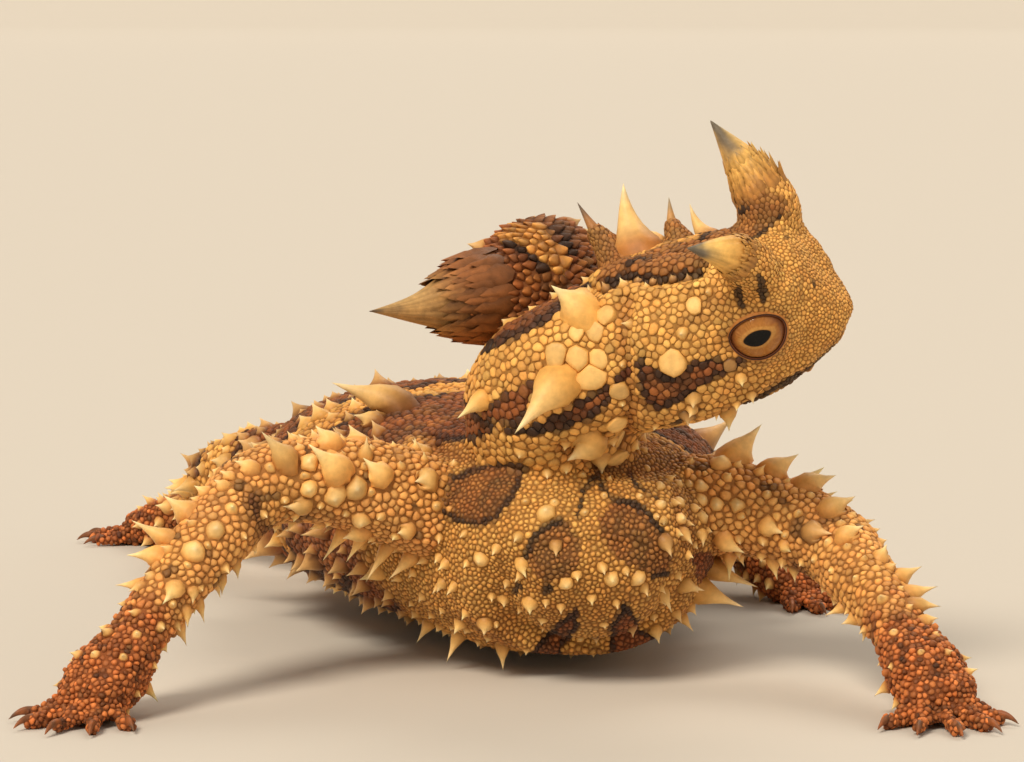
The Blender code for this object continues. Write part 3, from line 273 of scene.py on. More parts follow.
# Markings seen from the front: outline across and down, border width, how dark the fill is
HEAD_MARKS = (
    (((637, 362), (649, 363), (659, 369), (665, 376), (678, 373), (695, 363), (712, 358), (727, 362), (746, 358),
      (740, 367), (719, 376), (705, 384), (690, 396), (673, 403), (659, 409), (647, 400), (639, 386)), 3.4, 1.0),
    (((588, 246), (613, 236), (637, 255), (661, 245), (697, 240), (724, 219), (748, 206), (783, 206), (783, 217),
      (763, 231), (744, 245), (715, 252), (705, 268), (676, 279), (647, 282), (627, 280), (601, 292), (589, 287)),
     1.0, 0.8),
    (((720, 222), (732, 196), (745, 186), (770, 192), (790, 204), (792, 216), (760, 226), (735, 234)), 1.0, 0.62),
)
NECK_MARKS = (
    (((478, 416), (493, 403), (508, 391), (531, 384), (537, 386), (531, 403), (518, 426), (505, 422), (485, 420)),
     1.6, 1.0),
    (((506, 430), (531, 426), (558, 414), (577, 403), (606, 387), (623, 372), (629, 362), (632, 372), (618, 388),
      (606, 404), (587, 420), (560, 431), (531, 435), (508, 434)), 3.4, 1.0),
    (((412, 390), (436, 386), (470, 402), (482, 418), (500, 430), (474, 440), (440, 442), (416, 430), (404, 408)),
     3.0, 1.0),
    (((430, 384), (480, 353), (510, 340), (547, 321), (570, 302), (590, 289), (590, 262), (560, 240), (500, 240),
      (430, 280)), 4.0, 1.0),
)
CHEST_MARKS = (
    (((476, 467), (496, 462), (526, 466), (522, 483), (510, 501), (496, 519), (480, 526), (455, 522), (439, 510),
      (430, 497), (446, 478)), 3.0, 0.85),
    (((542, 531), (558, 522), (570, 526), (581, 545), (579, 563), (565, 579), (542, 581), (529, 568), (529, 552)),
     0.6, 0.74),
    (((616, 501), (634, 503), (652, 519), (664, 533), (671, 559), (664, 575), (648, 572), (620, 561), (604, 540),
      (600, 517)), 0.6, 0.74),
    (((542, 639), (561, 621), (577, 609), (577, 625), (570, 637), (561, 650), (556, 684), (496, 684), (510, 666),
      (529, 655)), 2.6, 1.0),
    (((611, 627), (625, 602), (636, 618), (639, 630), (655, 634), (671, 634), (694, 632), (694, 643), (671, 650),
      (630, 662), (611, 655)), 2.6, 1.0),
    # the hollow of the armpit at the right of the plate: dark rust, partly the hide's colour and partly painted shade
    (((689, 554), (708, 552), (726, 568), (733, 591), (717, 600), (698, 581)), 1.0, 1.0),
)
CHEST_LINES = (
    (((526, 556), (531, 541), (543, 529), (562, 520)), 3.4),
    (((617, 501), (634, 503), (652, 517), (664, 533)), 3.8),
    (((577, 517), (584, 489), (597, 474), (604, 490), (611, 499)), 2.6),
    (((516, 590), (518, 586)), 4.2), (((546, 590), (549, 587)), 4.2), (((652, 575), (666, 574)), 3.4),
    (((425, 496), (445, 515)), 3.0), (((628, 470), (636, 486), (660, 500)), 1.6),
)
# Black lines seen from the front: line and half width. The line under the shelf of the crown, from (590, 287) to (700,
# 274), is a painted shadow, and the mouth line from (834, 346) to (738, 408) is painted shade.
HEAD_LINES = (
    (((738, 290), (742, 306)), 3.6), (((760, 278), (764, 299)), 3.8), (((590, 287), (606, 286), (628, 276),
      (648, 279), (676, 277), (700, 274)), 5.2), (((800, 374), (785, 382), (768, 391), (752, 402), (738, 408)), 3.4),
    (((834, 346), (818, 360), (800, 374)), 1.3), (((628, 264), (640, 258), (652, 258)), 1.6),
    (((640, 356), (646, 358)), 2.4), (((700, 240), (722, 224), (748, 208)), 2.2), (((716, 251), (744, 244),
      (764, 231), (782, 216)), 1.8), (((813, 281), (814, 286)), 1.0), (((824, 299), (826, 302)), 0.9),
    (((785, 236), (787, 238)), 1.1), (((670, 430), (684, 416), (704, 408)), 1.3), (((670, 440), (672, 424)), 1.4),
)
KNOB_BAND = ((492, 239), (514, 226), (543, 223), (557, 241), (568, 261), (566, 278), (554, 271),
             (540, 258), (526, 247), (509, 242))
KNOB_SPOTS = ((((505, 245), (518, 249)), 3.4), (((523, 252), (542, 266)), 5.0),
              (((556, 229), (566, 240), (571, 254)), 4.6), (((480, 351), (510, 338), (547, 318)), 5.5))
# Folds of the hide on the front plate: the line, half width and depth in millimetres
FOLDS = (
    (((586, 290), (604, 288), (627, 278), (647, 280), (676, 277), (702, 272)), 0.5, 0.75),
    (((802, 373), (785, 382), (768, 391), (752, 402), (736, 409)), 0.3, 0.5),
    (((628, 300), (623, 340), (628, 372), (631, 410), (624, 446)), 0.55, 0.5),
    (((688, 482), (691, 520), (697, 556)), 0.45, 0.5), (((704, 484), (711, 520), (716, 552)), 0.45, 0.5),
    (((676, 480), (678, 516), (684, 545)), 0.45, 0.45), (((560, 448), (610, 470), (670, 470)), 0.6, 0.45),
    (((400, 400), (440, 450), (470, 462)), 0.6, 0.4),
)

# Shaded hollows of the elbows and behind the eye on the front plate: line, half width, how dark
HOLLOWS = (
    (((250, 500), (262, 530), (266, 545)), 9.0, 0.75), (((796, 566), (812, 588), (820, 610)), 8.5, 0.75),
    (((838, 560), (852, 580)), 5.0, 0.4), (((692, 318), (706, 306), (722, 304)), 11.0, 0.38),
    (((700, 448), (722, 452)), 7.0, 0.35), (((596, 468), (640, 462), (680, 458)), 8.0, 0.45),
)

# Colours as linear values, and the range that tints keep to
SAND = np.array((0.66, 0.30, 0.060))
STRAW = np.array((0.80, 0.44, 0.115))
OCHRE = np.array((0.47, 0.18, 0.036))
PEACH = np.array((0.78, 0.36, 0.125))
RUST = np.array((0.225, 0.058, 0.015))
UMBER = np.array((0.085, 0.026, 0.010))
BLACK = np.array((0.020, 0.011, 0.007))
CREAM = np.array((0.90, 0.58, 0.215))
IVORY = np.array((0.96, 0.76, 0.42))
DUST = np.array((0.47, 0.135, 0.034))
HORN_TIP = np.array((0.115, 0.085, 0.060))
TINT_LEAST, TINT_MOST = 0.002, 0.95


# ---------------------------------------------------------------- small sums on arrays
def unit(v: Array) -> Array:
    """Scale vectors to length one."""
    return v / np.maximum(np.linalg.norm(v, axis=-1, keepdims=True), 1e-9)


def dot(a: Array, b: Array) -> Array:
    """Dot products along the last axis."""
    return (a * b).sum(-1)


KNOB_MIDDLE = (KNOB_TOP + KNOB_ROOT) / 2
KNOB_ACROSS, KNOB_ALONG = unit(KNOB_SIDE), unit(KNOB_TOP - KNOB_ROOT)
KNOB_DEEP = unit(np.cross(KNOB_ALONG, KNOB_ACROSS))
KNOB_LONG = np.linalg.norm(KNOB_TOP - KNOB_ROOT) / 2


def swing(rays: Array, start: Array, end: Array) -> Array:
    """Turn sets of rays by the turn that takes each start direction to its end direction.

    Args:
        rays: sets of rays, N by M by 3.
        start: direction of each set, N by 3.
        end: direction that each set is to have.

    Returns:
        the turned rays.
    """
    k = np.cross(start, end)[:, None]
    share = 1 / np.maximum(1 + dot(start, end), 0.05)[:, None, None]
    first = np.cross(k, rays)
    return rays + first + np.cross(k, first) * share


def smooth(low: float, high: float, x: Array) -> Array:
    """Rise smoothly from 0 at low to 1 at high."""
    u = np.clip((x - low) / (high - low), 0.0, 1.0)
    return u * u * (3 - 2 * u)


def mix(a: Array, b: Array, share: Array) -> Array:
    """Mix two sets of colours by a share for each point."""
    s = np.asarray(share)[..., None]
    return np.asarray(a) * (1 - s) + np.asarray(b) * s


def lattice(cell: Array, seed: int) -> Array:
    """Random numbers from 0 to 1 at whole-number places.

    Args:
        cell: whole-number places, N by 3.
        seed: picks one of many patterns.

    Returns:
        N numbers.
    """
    n = cell[..., 0] * 1619 + cell[..., 1] * 31337 + cell[..., 2] * 6971 + seed * 1013
    n = (n ^ (n >> 8)) & 0x7FFFFF
    n = (n * (n * n % 65521 * 15731 % 1000003 + 789221) + 1376312589) & 0x7FFFFFFF
    return n / 0x7FFFFFFF


def noise(points: Array, size: float, seed: int = 0) -> Array:
    """Smooth random swell over the points.

    Args:
        points: places in millimetres, N by 3.
        size: width of one swell.
        seed: picks one of many patterns.

    Returns:
        N numbers from about -1 to 1.
    """
    q = points / size + 57.3
    cell = np.floor(q).astype(np.int64)
    f = q - cell
    f = f * f * (3 - 2 * f)
    total = np.zeros(len(points))
    for corner in range(8):
        step = np.array((corner & 1, corner >> 1 & 1, corner >> 2 & 1))
        share = np.prod(np.where(step == 1, f, 1 - f), axis=-1)
        total += share * lattice(cell + step, seed)
    return total * 2 - 1


def fractal(points: Array, size: float, seed: int = 0) -> Array:
    """Three swells on top of each other, each half as wide as the last."""
    return (noise(points, size, seed) + 0.5 * noise(points, size / 2, seed + 1)
            + 0.25 * noise(points, size / 4, seed + 2)) / 1.4


def from_top(angle: Array) -> Array:
    """Degrees between an angle round a tube and its top, from 0 to 180."""
    return np.abs((np.degrees(np.mod(angle, TAU)) - 90 + 180) % 360 - 180)


def finder(places: Array) -> kdtree.KDTree:
    """Make a finder of the nearest of some places.

    Args:
        places: the places, N by 3.

    Returns:
        the finder, ready to ask.
    """
    tree = kdtree.KDTree(len(places))
    for k, place in enumerate(places.tolist()):
        tree.insert(place, k)
    tree.balance()
    return tree


def path_distance(places: Array, path: Array) -> Array:
    """Distance of places in space from a run of straight pieces, 9 at most.

    Args:
        places: the places, N by 3.
        path: corners of the run, M by 3.

    Returns:
        N distances.
    """
    best = np.full(len(places), 9.0)
    for a, b in zip(path, path[1:]):
        u = np.clip(((places - a) @ (b - a)) / dot(b - a, b - a), 0, 1)[:, None]
        best = np.minimum(best, np.linalg.norm(places - a - u * (b - a), axis=1))
    return best


def ring_quads(around: int, rings: int) -> Array:
    """Faces of four corners between equal rings that follow each other.

    Args:
        around: places in one ring.
        rings: how many rings.

    Returns:
        the corners of each face, N by 4.
    """
    k = np.arange(around)
    turn = (k + 1) % around
    return np.concatenate([np.stack((r * around + k, r * around + turn, (r + 1) * around + turn,
                                     (r + 1) * around + k), -1) for r in range(rings - 1)])


def ring_caps(around: int, rings: int) -> Array:
    """Faces of three corners that close the last ring and the first, each by one more place.

    Args:
        around: places in one ring.
        rings: how many rings.

    Returns:
        the corners of each face, N by 3.
    """
    k, last = np.arange(around), (rings - 1) * around
    turn = (k + 1) % around
    return np.concatenate((np.stack((last + k, last + turn, np.full(around, rings * around)), -1),
                           np.stack((turn, k, np.full(around, rings * around + 1)), -1)))


def line_distance(x: Array, y: Array, line: tuple) -> Array:
    """Distance of plate places from a run of straight pieces.

    Args:
        x: across on the plate.
        y: down on the plate.
        line: corners of the run.

    Returns:
        N distances in plate steps.
    """
    best = np.full(len(x), 1e9)
    for (ax, ay), (bx, by) in zip(line, line[1:]):
        dx, dy = bx - ax, by - ay
        u = np.clip(((x - ax) * dx + (y - ay) * dy) / max(dx * dx + dy * dy, 1e-9), 0, 1)
        best = np.minimum(best, np.hypot(x - ax - u * dx, y - ay - u * dy))
    return best


def outline_distance(x: Array, y: Array, outline: tuple) -> Array:
    """Distance of plate places from a closed outline, less than zero inside it.

    Args:
        x: across on the plate.
        y: down on the plate.
        outline: corners of the outline.

    Returns:
        N distances in plate steps.
    """
    far = line_distance(x, y, (*outline, outline[0]))
    inside = np.zeros(len(x), bool)
    for (ax, ay), (bx, by) in zip(outline, (*outline[1:], outline[0])):
        crosses = (ay > y) != (by > y)
        inside ^= crosses & (x < (bx - ax) * (y - ay) / (by - ay if by != ay else 1e-9) + ax)
    return np.where(inside, -far, far)


# ---------------------------------------------------------------- the camera's plate
@dataclass(frozen=True)
class Plate:
    """The picture plane of the camera, shared by the camera and by places read on it."""

    lift: float = math.radians(6.0)
    far: float = 300.0
    aim: tuple = (0.0, 0.0, 26.0)
    scale: float = 12.0
    width: float = 1024.0
    height: float = 762.0

    @property
    def ahead(self) -> Array:
        """Direction in which the camera looks."""
        return np.array((0.0, math.cos(self.lift), -math.sin(self.lift)))

    @property
    def up(self) -> Array:
        """Direction that is up in the picture."""
        return np.array((0.0, math.sin(self.lift), math.cos(self.lift)))

    def see(self, points: Array) -> tuple:
        """Turn places in the room into across, down and depth on the plate.

        Args:
            points: places in millimetres, N by 3.

        Returns:
            three lists of N numbers.
        """
        off = points - np.array(self.aim)
        depth = off @ self.ahead
        k = self.scale * self.far / (self.far + depth)
        return self.width / 2 + off[:, 0] * k, self.height / 2 - (off @ self.up) * k, depth


PLATE = Plate()


def hollow_share(across: Array, down: Array) -> Array:
    """How deep in a shaded hollow each place of the plate lies, from 0 to 1.

    Args:
        across: across on the plate.
        down: down on the plate.

    Returns:
        N shares.
    """
    made = np.zeros(len(across))
    for line, wide, deep in HOLLOWS:
        made = np.maximum(made, deep * np.exp(-(line_distance(across, down, line) / wide) ** 2))
    return made


# ---------------------------------------------------------------- flesh
class Tube:
    """Flesh as a smooth run of oval sections, with its length counted in sections."""

    def __init__(self, stations: tuple, ups: tuple = (TRUNK_UP,), fullness: float = 2.0) -> None:
        """Keep the sections and the up direction at each.

        Args:
            stations: centre x, y, z, half width, rise and drop of each section.
            ups: one up direction, or one for each section.
            fullness: 2 is an oval, more is squarer.
        """
        self.rows = np.array(stations, float)
        self.last = len(self.rows) - 1
        self.ups = np.array(ups, float)
        if len(self.ups) == 1:
            self.ups = np.repeat(self.ups, len(self.rows), axis=0)
        self.fullness = fullness

    def values(self, t: Array) -> Array:
        """Centre, half width, rise and drop at each t, as six columns.

        Args:
            t: lengths along the tube, in sections.

        Returns:
            the numbers, with the shape of t and 6 columns.
        """
        t = np.clip(np.asarray(t, float), 0.0, self.last)
        i = np.minimum(t.astype(int), self.last - 1)
        u = (t - i)[..., None]
        a, b = self.rows[np.maximum(i - 1, 0)], self.rows[i]
        c, d = self.rows[i + 1], self.rows[np.minimum(i + 2, self.last)]
        return 0.5 * (2 * b + (c - a) * u + (2 * a - 5 * b + 4 * c - d) * u * u
                      + (3 * b - a - 3 * c + d) * u ** 3)

    def axes(self, t: Array) -> tuple:
        """Directions ahead, to the side and up at each t.

        Args:
            t: lengths along the tube, in sections.

        Returns:
            three sets of directions.
        """
        t = np.clip(np.asarray(t, float), 0.0, self.last)
        ahead = unit(self.values(t + 0.02)[..., :3] - self.values(t - 0.02)[..., :3])
        i = np.minimum(t.astype(int), self.last - 1)
        u = (t - i)[..., None]
        hint = self.ups[i] * (1 - u) + self.ups[i + 1] * u
        side = unit(np.cross(ahead, hint))
        return ahead, side, unit(np.cross(side, ahead))

    def point(self, t: Array, angle: Array, grow: float = 0.0) -> Array:
        """Places on the surface. Angle 0 is the side and a quarter turn is the top.

        Args:
            t: lengths along the tube.
            angle: angles round it.
            grow: height over the surface.

        Returns:
            the places.
        """
        t, angle = np.broadcast_arrays(np.asarray(t, float), np.asarray(angle, float))
        v = self.values(t)
        _, side, up = self.axes(t)
        c, s = np.cos(angle), np.sin(angle)
        power = 2.0 / self.fullness
        tall = np.where(s >= 0, v[..., 4], v[..., 5])
        a = np.sign(c) * np.abs(c) ** power * np.maximum(v[..., 3] + grow, 0.05)
        b = np.sign(s) * np.abs(s) ** power * np.maximum(tall + grow, 0.05)
        return v[..., :3] + side * a[..., None] + up * b[..., None]

    def normal(self, t: Array, angle: Array) -> Array:
        """Outward directions of the surface.

        Args:
            t: lengths along the tube.
            angle: angles round it.

        Returns:
            the directions.
        """
        t, angle = np.broadcast_arrays(np.asarray(t, float), np.asarray(angle, float))
        along = self.point(t + 0.05, angle) - self.point(t - 0.05, angle)
        across = self.point(t, angle + 0.05) - self.point(t, angle - 0.05)
        out = unit(np.cross(along, across))
        away = self.point(t, angle) - self.values(t)[..., :3]
        return out * np.where(dot(out, away) < 0, -1.0, 1.0)[..., None]


class Anatomy:
    """All the tubes of the body, and the head's own axes."""

    def __init__(self) -> None:
        """Lay out the tubes."""
        self.forward = unit(np.array((0.941, -0.259, 0.218)))
        self.left = unit(np.array((0.125, 0.865, 0.486)))
        self.up = unit(np.cross(self.forward, self.left))
        self.head_axes = np.array((self.forward, self.left, self.up))
        self.to_head = np.linalg.inv(self.head_axes)
        head_rows = [(*self.head_place(f, 0.0, m), w, r, d) for f, m, w, r, d in HEAD]
        first = (*self.head_place(HEAD[0][0] + 1.2, 0.0, HEAD[0][1]), *HEAD[0][2:])
        self.tubes = {
            Part.HEAD: Tube(head_rows, (self.up,), HEAD_FULLNESS),
            Part.NECK: Tube((first, *NECK), (tuple(self.up), *NECK_UPS), HEAD_FULLNESS),
            Part.TRUNK: Tube(BODY, fullness=BODY_FULLNESS),
            Part.ARM_RIGHT: Tube(ARM_RIGHT, (ARM_UP,)),
            Part.ARM_LEFT: Tube(ARM_LEFT, (ARM_UP,)),
            Part.LEG_RIGHT: Tube(self.leg_rows(-1), (ARM_UP,)),
            Part.LEG_LEFT: Tube(self.leg_rows(1), (ARM_UP,)),
        }

    def head_place(self, forward: float, left: float, up: float) -> Array:
        """Turn a place in the head's own axes into one in the room."""
        return SNOUT_TIP + self.forward * forward + self.left * left + self.up * up

    def head_coords(self, points: Array) -> Array:
        """Turn places in the room into the head's own forward, left and up."""
        return (points - SNOUT_TIP) @ self.to_head

    def leg_rows(self, side: int) -> list:
        """Lay out one hind leg from the hips.

        Args:
            side: -1 for the right leg, 1 for the left.

        Returns:
            sections of the leg.
        """
        back = unit(HIPS_BACK)
        out = np.cross(back, (0.0, 0.0, 1.0)) * side
        rows = []
        for far, behind, height, *sizes in LEG_FORE if side > 0 else LEG_BACK:
            place = HIPS + out * far + back * behind
            rows.append((place[0], place[1], height, *sizes))
        return rows

    def horn_tube(self, side: int) -> Tube:
        """The path of one brow horn.

        Args:
            side: -1 for the right horn, 1 for the left.

        Returns:
            the path.
        """
        rows = []
        for f, l, u, wide in (*HORN_PATH[side], HORN_TIPS[side]):
            rows.append((*self.head_place(f, side * l, u), *(HORN_WIDTH * wide,) * 3))
        return Tube(rows, (tuple(self.forward),))

    def knob_tube(self, side: int) -> Tube:
        """The path of one great spine of the knob, from inside the knob.

        Args:
            side: -1 for the right spine, 1 for the left.

        Returns:
            the path.
        """
        middle = KNOB_MIDDLE - np.array((0.0, 0.4, 0.8))
        rows = [(*(middle + KNOB_ACROSS * side * far + np.array((0.0, 0.0, lift))), wide, tall, tall)
                for far, lift, wide, tall in ((2.4, 0.8, 3.6, 4.4), (5.6, 0.6, 3.1, 3.8), (9.0, 0.3, 2.1, 2.6),
                                              (12.6, 0.0, 1.0, 1.2), (16.8, 0.1, 0.03, 0.03))]
        return Tube(rows, ((0.0, 0.0, 1.0),))

    def eye(self, side: int) -> tuple:
        """Centre of one eye and its directions: along the lid, up and out.

        Args:
            side: -1 for the right eye, 1 for the left.

        Returns:
            the centre and three directions.
        """
        centre = self.head_place(EYE_AT[0], side * EYE_AT[1], EYE_AT[2])
        out = unit(self.left * side + self.up * 0.10 + self.forward * 0.16)
        along = unit(self.forward - out * dot(self.forward, out) + self.up * 0.1)
        along = unit(along - out * dot(along, out))
        up = np.cross(out, along) * side
        return centre, along, up if dot(up, self.up) > 0 else -up, out

    def beyond_lid(self, off: Array, along: Array, up: Array) -> tuple:
        """How far places lie outside the eye's opening, and how high the eyeball stands at its rim.

        Args:
            off: places from the middle of the eye.
            along: direction along the lid.
            up: direction across the lid.

        Returns:
            N distances, less than zero within the opening, and N heights.
        """
        a, b = off @ along / LID_OPENING[0], off @ up / LID_OPENING[1]
        ring = np.maximum(np.hypot(a, b), 1e-6)
        edge = (a / ring * LID_OPENING[0]) ** 2 + (b / ring * LID_OPENING[1]) ** 2
        return (ring - 1) * np.sqrt(edge), np.sqrt(np.maximum(EYE_RADIUS ** 2 - edge, 0.05)) + 0.05

    def mouth_line(self, side: int) -> Array:
        """Places of the mouth line in the head's own axes, back to front.

        Args:
            side: -1 for the right side, 1 for the left.

        Returns:
            the places, N by 3.
        """
        rows = np.array(HEAD)
        made = []
        for f in np.linspace(MOUTH_BACK, -0.6, 12):
            wide, drop = np.interp(f, rows[:, 0], rows[:, 2]), np.interp(f, rows[:, 0], rows[:, 4])
            level = MOUTH_HEIGHT * min(1.0, 0.62 * drop / abs(MOUTH_HEIGHT))
            out = wide * (1 - min(abs(level / drop), 0.95) ** HEAD_FULLNESS) ** (1 / HEAD_FULLNESS)
            made.append((f, side * out, level))
        made.append((-0.1, 0.0, made[-1][2]))
        return np.array(made)

    def toes(self, part: Part) -> list:
        """Root, heading, length and radius of each toe of one foot.

        Args:
            part: the limb.

        Returns:
            four values for each toe.
        """
        tube = self.tubes[part]
        hind = part in LEGS
        sign = -1 if part in (Part.ARM_RIGHT, Part.LEG_RIGHT) else 1
        v = tube.values(np.array(tube.last - 0.9))
        ahead = tube.axes(np.array(tube.last - 0.6))[0].copy()
        ahead[2] = 0.0
        ahead = unit(ahead)
        made = []
        for degrees, length in zip(TOE_SPREAD, TOE_LENGTHS):
            turn = math.radians(degrees * sign * (0.8 if hind else 1.0))
            c, s = math.cos(turn), math.sin(turn)
            heading = np.array((ahead[0] * c - ahead[1] * s, ahead[0] * s + ahead[1] * c, 0.0))
            made.append((v[:3] + heading * v[3] * 0.75, heading, length * (1.15 if hind else 1.0), TOE_RADIUS))
        return made


# ---------------------------------------------------------------- skin
@dataclass
class Form:
    """Rough closed shapes that are fused into one skin, with where each point comes from."""

    body: Anatomy
    depth: float = 0.22
    step: float = 0.7
    points: list = field(default_factory=list)
    faces: list = field(default_factory=list)
    marks: list = field(default_factory=list)
    count: int = 0

    def rings(self, rings: list, part: Part, ts: list, angles: Array, start: Array, end: Array) -> None:
        """Add rings closed by a point at each end.

        Args:
            rings: equal rings of places.
            part: the length of flesh.
            ts: t of each ring.
            angles: angle of each place in a ring.
            start: closing place before the first ring.
            end: closing place after the last ring.
        """
        n, base = len(angles), self.count
        self.points.append(np.concatenate((*rings, [start], [end])))
        ts = np.concatenate((np.repeat(ts, n), (ts[0], ts[-1])))
        turned = np.concatenate((np.tile(angles, len(rings)), (0.0, 0.0)))
        self.marks.append(np.stack((np.full(len(ts), int(part)), ts, turned), -1))
        k = np.arange(n)
        self.faces += (ring_quads(n, len(rings)) + base).tolist()
        first, last = base + len(rings) * n, base + len(rings) * n + 1
        a, b = base + (k + 1) % n, base + k
        self.faces += np.stack((a, b, np.full(n, first)), -1).tolist()
        a, b = base + (len(rings) - 1) * n + k, base + (len(rings) - 1) * n + (k + 1) % n
        self.faces += np.stack((a, b, np.full(n, last)), -1).tolist()
        self.count += len(rings) * n + 2

    def tube(self, part: Part, dome0: float, dome1: float) -> None:
        """Add the whole length of one tube with rounded ends.

        Args:
            part: the length of flesh.
            dome0: how far its start bulges.
            dome1: how far its end bulges.
        """
        tube = self.body.tubes[part]
        v = tube.values(np.linspace(0, tube.last, 60))
        length = np.linalg.norm(np.diff(v[:, :3], axis=0), axis=1).sum()
        girth = TAU * v[:, 3:].max()
        ts = np.linspace(0, tube.last, max(8, int(length / self.step)))
        angles = (np.arange(max(16, int(girth / self.step))) + 0.5) * TAU / max(16, int(girth / self.step))
        rings = [tube.point(np.full(len(angles), t), angles, -self.depth) for t in ts]
        names, ends = list(ts), []
        for t, dome, sign in ((0.0, dome0, -1), (float(tube.last), dome1, 1)):
            middle, ahead = tube.values(np.array(t))[:3], tube.axes(np.array(t))[0] * sign
            edge = rings[0] if sign < 0 else rings[-1]
            extra = [middle + (edge - middle) * math.cos(a) + ahead * dome * math.sin(a)
                     for a in (0.35, 0.7, 1.05, 1.3)]
            rings = extra[::-1] + rings if sign < 0 else rings + extra
            names = [t] * 4 + names if sign < 0 else names + [t] * 4
            ends.append(middle + ahead * dome)
        self.rings(rings, part, names, angles, *ends)

    def ball(self, part: Part, centre: Array, axes: Array, sizes: tuple) -> None:
        """Add a rounded ball drawn out along its own axes.

        Args:
            part: the length of flesh that it belongs to.
            centre: its middle.
            axes: its three directions.
            sizes: its half lengths along them.
        """
        angles = np.arange(48) * TAU / 48
        around = np.cos(angles)[:, None] * axes[0] * sizes[0] + np.sin(angles)[:, None] * axes[1] * sizes[1]
        lifts = np.linspace(0.06, math.pi - 0.06, 30)
        rings = [centre + around * math.sin(a) - axes[2] * sizes[2] * math.cos(a) for a in lifts]
        self.rings(rings, part, list(lifts / math.pi), angles, centre - axes[2] * sizes[2],
                   centre + axes[2] * sizes[2])

    def boss(self, part: Part, tube: Tube, end: float, first: float, grow: float = -0.3) -> None:
        """Add the fleshy root of a horn.

        Args:
            part: the length of flesh that it belongs to.
            tube: path of the horn.
            end: where the flesh ends on that path.
            first: t given to its root, past the t of the rest of the part.
            grow: how far it stands out from the horn.
        """
        angles = np.arange(36) * TAU / 36
        ts = np.linspace(0.0, end, 30)
        rings = [tube.point(np.full(36, t), angles, grow) for t in ts]
        self.rings(rings, part, list(first + ts / end), angles, rings[0].mean(0), rings[-1].mean(0))

    def toe(self, part: Part, index: int, root: Array, heading: Array, length: float, radius: float) -> None:
        """Add one toe that lies on the floor, with its knuckles.

        Args:
            part: the limb.
            index: number of the toe.
            root: where it starts.
            heading: where it points.
            length: how long it is.
            radius: half its width.
        """
        side = np.cross(heading, (0.0, 0.0, 1.0))
        angles = np.arange(14) * TAU / 14
        ring = np.cos(angles)[:, None] * side + np.sin(angles)[:, None] * np.array((0.0, 0.0, 1.0))
        rings, far = [], np.linspace(-1.2, length, 16)
        for f in far:
            u = max(f, 0) / length
            middle = root + heading * f
            middle[2] = radius * 0.78 + 0.5 * (1 - smooth(0.3, 0.75, np.array(u))) - 0.1
            wide = (radius - 0.1) * (1.0 - 0.34 * u ** 2 + 0.09 * math.cos(u * 14))
            rings.append(middle + ring * wide)
        last = self.body.tubes[part].last
        self.rings(rings, part, list(last + index + np.linspace(0, 1, 16)), angles, rings[0].mean(0) - heading * 0.4,
                   rings[-1].mean(0) + heading * 0.35)

    def fuse(self, voxel: float) -> bpy.types.Mesh:
        """Fuse everything into one closed surface in millimetres.

        Args:
            voxel: size of the grid that fuses the shapes.

        Returns:
            the fused mesh.
        """
        data = bpy.data.meshes.new("form")
        data.from_pydata(np.concatenate(self.points).tolist(), [], self.faces)
        item = bpy.data.objects.new("form", data)
        bpy.context.scene.collection.objects.link(item)
        step = item.modifiers.new("fuse", "REMESH")
        step.mode = "VOXEL"
        step.voxel_size = voxel
        done = bpy.data.meshes.new_from_object(item.evaluated_get(bpy.context.evaluated_depsgraph_get()))
        bpy.data.objects.remove(item, do_unlink=True)
        return done


def pull(data: bpy.types.bpy_prop_collection, name: str, kind: type, wide: int) -> Array:
    """Read one list of numbers from mesh data into an array.

    Args:
        data: the mesh data.
        name: name of the numbers.
        kind: their type.
        wide: how many belong to one item.

    Returns:
        the numbers, one row for each item.
    """
    out = np.empty(len(data) * wide, kind)
    data.foreach_get(name, out)
    return out.reshape(-1, wide) if wide > 1 else out


